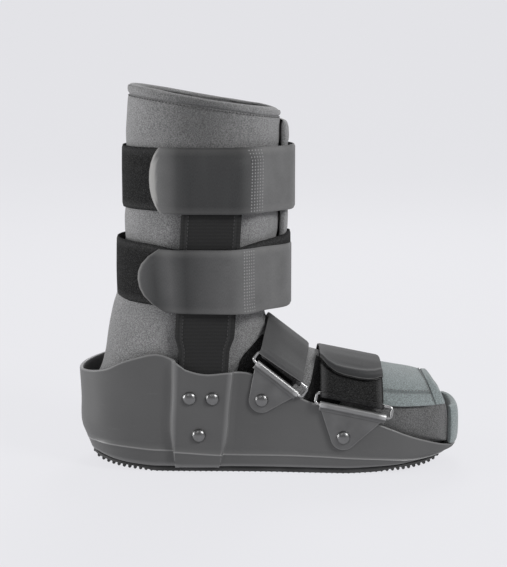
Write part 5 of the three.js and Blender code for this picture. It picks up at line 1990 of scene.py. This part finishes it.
def make_roll(name, strap, sign):
    """The rolled edge: a rod, and the lip that comes back down over the plate."""
    reach = strap.along * (strap.half - 2 * WIRE_RADIUS - 0.0012)
    rod = rod_grid(strap.bar - reach, strap.bar + reach, BARREL_RADIUS, ROD_SIDES)
    # painted highlight along the rolled edge, brighter at its ends, where the enamel also wears to
    # metal
    edge = np.full((len(rod), ROD_SIDES), 0.25)
    edge[:3] = edge[-3:] = 0.8
    made = grid_object(name, mirrored(rod, sign), caps=True, paint={"edge": edge})
    side = np.linspace(-1, 1, 24)[:, None] * reach * 0.985
    drop = [0.001, 0.0025, ROLL_DROP - 0.0006, ROLL_DROP, ROLL_DROP]
    base = strap.bar - strap.outward * (BARREL_RADIUS - PLATE_THICKNESS)
    rows = []
    for down, height in zip(drop, [0.6, 1.0, 1.0, 0.75, -0.4]):
        rows.append(base + strap.out * ROLL_LIP * height - strap.up * down + side)
    rows.append(base - strap.out * 0.0004 - strap.up * 0.001 + side)
    lip = grid_object(name + "_lip", mirrored(rows, sign), round_columns=False, round_rows=True)
    with opened(lip) as work:
        bmesh.ops.holes_fill(work, edges=work.edges, sides=0)
    face_outwards(lip)
    return made, lip


def make_ring(name, strap, sign):
    side = strap.half - RING_CORNER
    rise = RING_HEIGHT / 2 - RING_CORNER
    centre = strap.bar + strap.lean * RING_HEIGHT / 2
    points = []
    for sx, sy, start in ((1, 1, 0), (-1, 1, 90), (-1, -1, 180), (1, -1, 270)):
        for turn in np.radians(start + np.linspace(0, 90, 9)):
            corner = centre + strap.along * sx * side + strap.lean * sy * rise
            bend = strap.along * math.cos(turn) + strap.lean * math.sin(turn)
            points.append(corner + RING_CORNER * bend)
    loop = []
    for a, b in zip(points, points[1:] + points[:1]):
        count = max(1, int(np.linalg.norm(b - a) / 0.003))
        loop += [a + (b - a) * k / count for k in range(count)]
    normal = unit(np.cross(strap.along, strap.lean))
    return grid_object(name, mirrored(wire_grid(loop, normal, WIRE_RADIUS), sign), round_rows=True)


for side, sign in SIDES.items():
    for name, strap in STRAPS.items():
        plate = make_plate(f"{name}_plate_{side}", strap, sign)
        dress(plate, "enamel", "painted_metal", f"{name}_bracket_{side}")
        for part in make_roll(f"{name}_roll_{side}", strap, sign):
            dress(part, "enamel", "painted_metal")
        ring = make_ring(f"{name}_wire_{side}", strap, sign)
        dress(ring, "wire", "ring", f"{name}_ring_{side}")

# %% [markdown]
# ## Rivets
# Every rivet has the same domed head on a thin flange, so one Geometry Nodes tree makes it once
# and places it on each point, turned so that it stands out of its wall.

# %% Tree of the rivet heads
def make_rivet_tree():
    nodes = Nodes("rivet_heads", "NodeSocketFloat", "Radius", "Dome", "Flange")
    radius = nodes.given("Radius")
    ball = nodes.add("GeometryNodeMeshUVSphere", {}, {"Segments": 32, "Rings": 18, "Radius": 1.0})
    size = nodes.add("ShaderNodeCombineXYZ", {}, {"X": radius, "Y": radius, "Z": nodes.given("Dome")})
    head = nodes.add("GeometryNodeTransform", {}, {"Geometry": ball, "Scale": size})
    flange = {"Vertices": 32, "Radius": radius, "Depth": nodes.given("Flange")}
    disc = nodes.add("GeometryNodeMeshCylinder", {}, flange)
    both = nodes.add("GeometryNodeJoinGeometry", {}, {"Geometry": [head, disc]})
    facing = {"Vector": nodes.vector("facing")}
    turned = nodes.add("FunctionNodeAlignRotationToVector", {"axis": "Z"}, facing)
    return nodes.on_points(both, turned)


# %% Place the rivets
STRUT_RIVETS = [(-0.26, 0.642), (0.26, 0.638), (0.0, 0.33)]
STRUT_WIDTH = 0.034


def rivet_places(sign):
    """Place and direction of each rivet head on one side, and the nodes that they stand for."""
    places, facing, nodes = [], [], []
    side = "near" if sign < 0 else "far"
    for number, (ahead, height) in enumerate(STRUT_RIVETS, 1):
        z = height * RIM_HEIGHT
        places.append((strut_x(z) + ahead * STRUT_WIDTH, sign * (CHANNEL_HALF + GAP), z))
        facing.append((0, sign, 0))
        nodes.append(f"strut_rivet_{side}_{number}")
    for name, strap in STRAPS.items():
        base = np.array([strap.rivet_x, -strap.wall(strap.rivet_x), strap.rivet_z])
        base += strap.outward * (PLATE_THICKNESS + GAP)
        places.append(tuple(mirrored(base, sign)))
        facing.append(tuple(mirrored(strap.outward, sign)))
        nodes.append(f"{name}_rivet_{side}")
    return places, facing, nodes


rivet_tree = make_rivet_tree()
for side, sign in SIDES.items():
    places, facing, nodes = rivet_places(sign)
    values = {"Radius": RIVET_HEAD / 2, "Dome": RIVET_DOME, "Flange": RIVET_FLANGE}
    values["Material"] = FINISHES["rivet"]
    rivets = placed_by_nodes("rivets_" + side, places, rivet_tree, values, {"facing": facing})
    dress(rivets, "rivet", "painted_metal", *nodes)

# %% [markdown]
# ## Foot straps
# Each foot strap is two layers. The soft one runs over the foot and is sewn round the wire of both
# rings, and the smooth one lies on it, with a loose end on the outer side. Both follow the hull of
# what lies under them. Straps are modelled directly: a remesh for a simulation would eat them.

# %% Path over the foot
FOOT_TRIANGLES = node_triangles(["liner", "toe_flap"])
ARCH_STEPS = 150
FOLD_HEIGHT = 0.0015
BEND = WIRE_RADIUS + GAP + PILE_THICKNESS / 2


def arch_over(strap):
    """The way over the foot in the strap's own plane: y, and height over the ring's wire."""
    origin = np.array([strap.wire[0], 0, strap.wire[2]])
    shares = np.linspace(-0.5, 0.5, 15) - strap.back
    across = np.array([0, 1.0, 0])
    origins = [origin + strap.wide * k * strap.width for k in shares]
    cuts = [sliced(FOOT_TRIANGLES, start, across, strap.rise) for start in origins]
    points = np.concatenate(cuts)
    foot = strap.hold - BEND - PILE_THICKNESS / 2 - GAP
    outline = hull(np.vstack([points[points[:, 1] > 0], [(-foot, 0), (foot, 0)]]))
    outline = outline[np.argsort(outline[:, 0])]
    return softened(resampled(outline, ARCH_STEPS), 7)


def softened(path, width):
    """Rounds the path's corners and keeps its ends."""
    kernel = hill(np.linspace(-2, 2, 2 * width + 1), 0, 1)
    kernel /= kernel.sum()
    first = 2 * path[0] - path[width:0:-1]
    last = 2 * path[-1] - path[-2 : -width - 2 : -1]
    padded = np.vstack([first, path, last])
    smooth = np.stack([np.convolve(column, kernel, "valid") for column in padded.T], axis=1)
    lost = np.linalg.norm(smooth - path, axis=1).max()
    return moved_out(smooth, 0.5 * lost)


def moved_out(path, out):
    """A flat path moved away from the foot."""
    step = np.gradient(path, axis=0)
    step /= np.linalg.norm(step, axis=1)[:, None]
    out = np.broadcast_to(np.asarray(out, float), (len(path),))
    return path + np.stack([-step[:, 1], step[:, 0]], axis=1) * out[:, None]


def strap_point(strap, path, share):
    """Points of the strap's plane brought into the frame, at a share of its width."""
    y, n = path[..., 0], path[..., 1]
    share = np.asarray(share) - strap.back
    origin = np.array([strap.wire[0], 0, strap.wire[2]])
    point = origin + strap.wide * (share[..., None] * strap.width) + strap.rise * n[..., None]
    return point + np.stack([0 * y, y * (1 + share * strap.spread), 0 * y], axis=-1)


ACROSS = np.array([-1, -0.985, -0.93, -0.75, -0.5, -0.25, 0, 0.25, 0.5, 0.75, 0.93, 0.985, 1]) / 2


def ribbon_grid(strap, paths, thickness, wider=1.0, shift=0.0):
    """paths holds one path for each share of ACROSS, all with equal counts."""
    faces = []
    for half in (thickness / 2, -thickness / 2):
        lines = []
        for share, path in zip(ACROSS, paths):
            thin = 0.55 if abs(share) > 0.49 else 1.0
            place = np.full(len(path), share * wider + shift)
            lines.append(strap_point(strap, moved_out(path, half * thin), place))
        faces.append(np.stack(lines, axis=1))
    return band_grid(*faces)


# %% Soft layer, sewn round the wires
def make_foot_pile(name, strap):
    turn = np.linspace(0, math.pi, 15)

    def fold(side):
        hook = [(side * (strap.hold + BEND), FOLD_HEIGHT * k) for k in (1, 0.5)]
        hook += [(side * (strap.hold + BEND * math.cos(t)), -BEND * math.sin(t)) for t in turn]
        return np.array(hook)

    arch = moved_out(arch_over(strap), GAP + PILE_THICKNESS / 2)
    path = np.vstack([fold(-1), arch[2:-2], fold(1)[::-1]])
    grid = ribbon_grid(strap, [path] * len(ACROSS), PILE_THICKNESS)
    shade = both_faces(0.3 * hill(np.abs(ACROSS), 0.46, 0.012))
    return grid_object(name, grid, caps=True, paint={"shade": shade})


for name, strap in STRAPS.items():
    pile = make_foot_pile(name + "_pile_band", strap)
    dress(pile, "pile", "pile", name + "_strap_pile")

# %% Smooth layer, with its loose end on the outer side
# FLARE and CREASE are how far the loose end stands off and bends. COVER is how much wider than the
# soft layer the smooth one is, and how far aside it lies.
LOOSE_LENGTH = 0.016
FLARE = {"instep": 0.0004, "forefoot": 0.0026}
# painted sheen of each smooth foot layer
FOOT_SHEEN = {"instep": 0.36, "forefoot": 0.0}
COVER = {"instep": (1.07, -0.02), "forefoot": (1.0, 0.0)}
CREASE = {"instep": 0.0003, "forefoot": 0.0007}


def make_foot_smooth(name, strap):
    out = GAP + PILE_THICKNESS + GAP + STRAP_THICKNESS / 2
    arch = moved_out(arch_over(strap), out)
    first = arch[0] - [0.0, 0.004]
    arch = np.vstack([[first], arch])
    over_fold = 2 * BEND * (name == "instep")
    beside = ease((0.013 - arch[:, 1]) / 0.009) * (arch[:, 0] < 0)
    arch[:, 0] -= over_fold * beside
    at = distances(arch, False)
    top = len(arch) // 2
    clear = FOLD_HEIGHT + PILE_THICKNESS
    end = at[-1] - np.interp(clear, arch[top:, 1][::-1], (at[-1] - at[top:])[::-1])
    paths = []
    for share in ACROSS:
        start = np.interp(float(from_table(strap.free, share)), arch[:top, 1], at[:top])
        want = start + (end - start) * np.linspace(0, 1, ARCH_STEPS) ** 1.15
        loose = np.clip(1 - (want - start) / LOOSE_LENGTH, 0, 1)
        wave = 0.75 + 0.25 * math.sin(5.5 * share + 0.6)
        crease = CREASE[name] * hill(want - start, 0.0075 + 0.004 * share, 0.0022)
        lifted = FLARE[name] * wave * np.sin(loose * math.pi * 0.62) ** 2
        paths.append(moved_out(read_at(want, at, arch), lifted + crease))
    grid = ribbon_grid(strap, paths, STRAP_THICKNESS, *COVER[name])
    rim = both_faces(0.12 * hill(np.abs(ACROSS), 0.48, 0.012))
    shade = np.maximum(rim[None, :], 0.18 * (np.arange(ARCH_STEPS) < 2)[:, None])
    paint = {"shade": shade, "worn": FOOT_SHEEN[name]}
    return grid_object(name + "_smooth_band", grid, caps=True, paint=paint)


for name, strap in STRAPS.items():
    dress(make_foot_smooth(name, strap), "strap", "strap", name + "_strap_smooth")

# %% [markdown]
# Under each ring a dark sheet of the soft layer goes on down between the bootie and the shell's
# rim. It stands partly for that layer's run and partly for painted shadow in the gap between the
# bootie and the shell. These tails lie on the bootie, so a ray from the side finds its surface at
# each of their points.

# %% Dark tails of the soft layers, partly painted shadow
# The left and the right edge of each tail, from the ring down, as x and z in metres
SHADOW_TAILS = {
    "instep": (
        [(-0.0062, 0.1058), (-0.0194, 0.0931), (-0.0233, 0.0876), (-0.0252, 0.0805), (-0.0264, 0.07)],
        [(0.0235, 0.09), (0.0219, 0.0809), (0.0211, 0.0705), (0.0113, 0.0625), (0.004, 0.056)],
    ),
    "forefoot": (
        [(0.037, 0.0868), (0.0343, 0.0783), (0.0323, 0.0704), (0.0274, 0.06), (0.02, 0.0505)],
        [(0.07, 0.074), (0.065, 0.07), (0.061, 0.064), (0.056, 0.058), (0.05, 0.05)],
    ),
}
TAIL_ROWS = 24
TAIL_COLUMNS = 15
TAIL_THICKNESS = 0.0009
surface = BVHTree.FromObject(liner, bpy.context.evaluated_depsgraph_get())


def lies_at(x, z, sign):
    """The bootie's side at a place: its distance from the middle, seen from one side."""
    found = surface.ray_cast(Vector((x, sign * 0.3, z)), Vector((0, -sign, 0)))[0]
    return sign * found.y if found is not None else 0.04


def make_shadow_tail(name, sign):
    left, right = (resampled(np.array(line), TAIL_ROWS) for line in SHADOW_TAILS[name])
    u = np.linspace(0, 1, TAIL_COLUMNS)
    flat = left[:, None, :] * (1 - u[:, None]) + right[:, None, :] * u[:, None]
    y = np.array([[lies_at(x, z, sign) for x, z in row] for row in flat])
    y = np.maximum(y, np.roll(y, 1, axis=1) * (u > 0)) + 2 * GAP
    y = y - GAP * ((u == 0) | (u == 1))
    outer, inner = (
        np.stack([flat[..., 0], sign * (y + up), flat[..., 1]], axis=-1)
        for up in (TAIL_THICKNESS, 0.0)
    )
    return band_grid(outer, inner)


for side, sign in SIDES.items():
    for name in SHADOW_TAILS:
        shadow_tail = grid_object(f"{name}_tail_{side}", make_shadow_tail(name, sign), caps=True)
        dress(shadow_tail, "pile", "pile")

# %% [markdown]
# ## Floor and light
# The photograph has a plain pale ground with hardly a shadow. A floor that curves up into a wall
# and gives off most of its own light does that. The sky is dim, and large soft lamps stand on the
# left and on the right, so the boot is lighter at its edges and darker where it faces the camera.

# %% Floor
FLOOR_LEVEL = 231
FLOOR_NEAR = -30.0
FLOOR_DEPTH = 2.4
FLOOR_REACH = 7.0
WALL_BEND = 1.6
WALL_HEIGHT = 5.0


def make_floor():
    profile = [(FLOOR_NEAR, 0.0), (FLOOR_DEPTH, 0.0)]
    for t in np.linspace(0, math.pi / 2, 16)[1:]:
        profile.append((FLOOR_DEPTH + WALL_BEND * math.sin(t), WALL_BEND * (1 - math.cos(t))))
    profile.append((FLOOR_DEPTH + WALL_BEND, WALL_BEND + WALL_HEIGHT))
    rows = [[(-FLOOR_REACH, y, z), (FLOOR_REACH, y, z)] for y, z in profile]
    floor = grid_object("floor", rows, round_columns=False)
    finish = Finish("pale_ground")
    finish.set(
        Base_Color=grey(FLOOR_LEVEL * 0.3),
        Emission_Color=grey(FLOOR_LEVEL, (0.99, 0.99, 1.03)),
        Emission_Strength=0.925,
        Roughness=0.9,
        Specular_IOR_Level=0.1,
    )
    floor.data.materials.append(finish.material)


make_floor()

# %% Sky and lamps
world = bpy.data.worlds.new("studio")
world.use_nodes = True
sky = world.node_tree.nodes["Background"].inputs
sky["Color"].default_value = grey(240, (0.99, 0.99, 1.02))
sky["Strength"].default_value = 0.38
bpy.context.scene.world = world
bpy.context.scene.view_settings.view_transform = "Standard"


def lamp(name, place, aim, size, watts):
    data = bpy.data.lights.new(name, "AREA")
    data.shape = "DISK"
    data.size = size
    data.energy = watts
    made = linked(name, data)
    made.location = place
    made.rotation_euler = (Vector(place) - Vector((0, 0, aim))).to_track_quat("Z", "Y").to_euler()


# Where each lamp stands, how high on the boot it aims, how wide it is and its watts
LAMPS = {
    "left": ((-1.7, -0.15, 0.35), 0.06, 0.8, 21),
    "right": ((1.3, -1.1, 1.2), 0.12, 0.7, 28),
    "front": ((-0.6, -1.6, 1.4), 0.12, 0.8, 3),
    "rim": ((0.2, 1.5, 1.3), 0.15, 0.8, 14),
}
for name, values in LAMPS.items():
    lamp(name, *values)
print("lamps:", len(LAMPS))
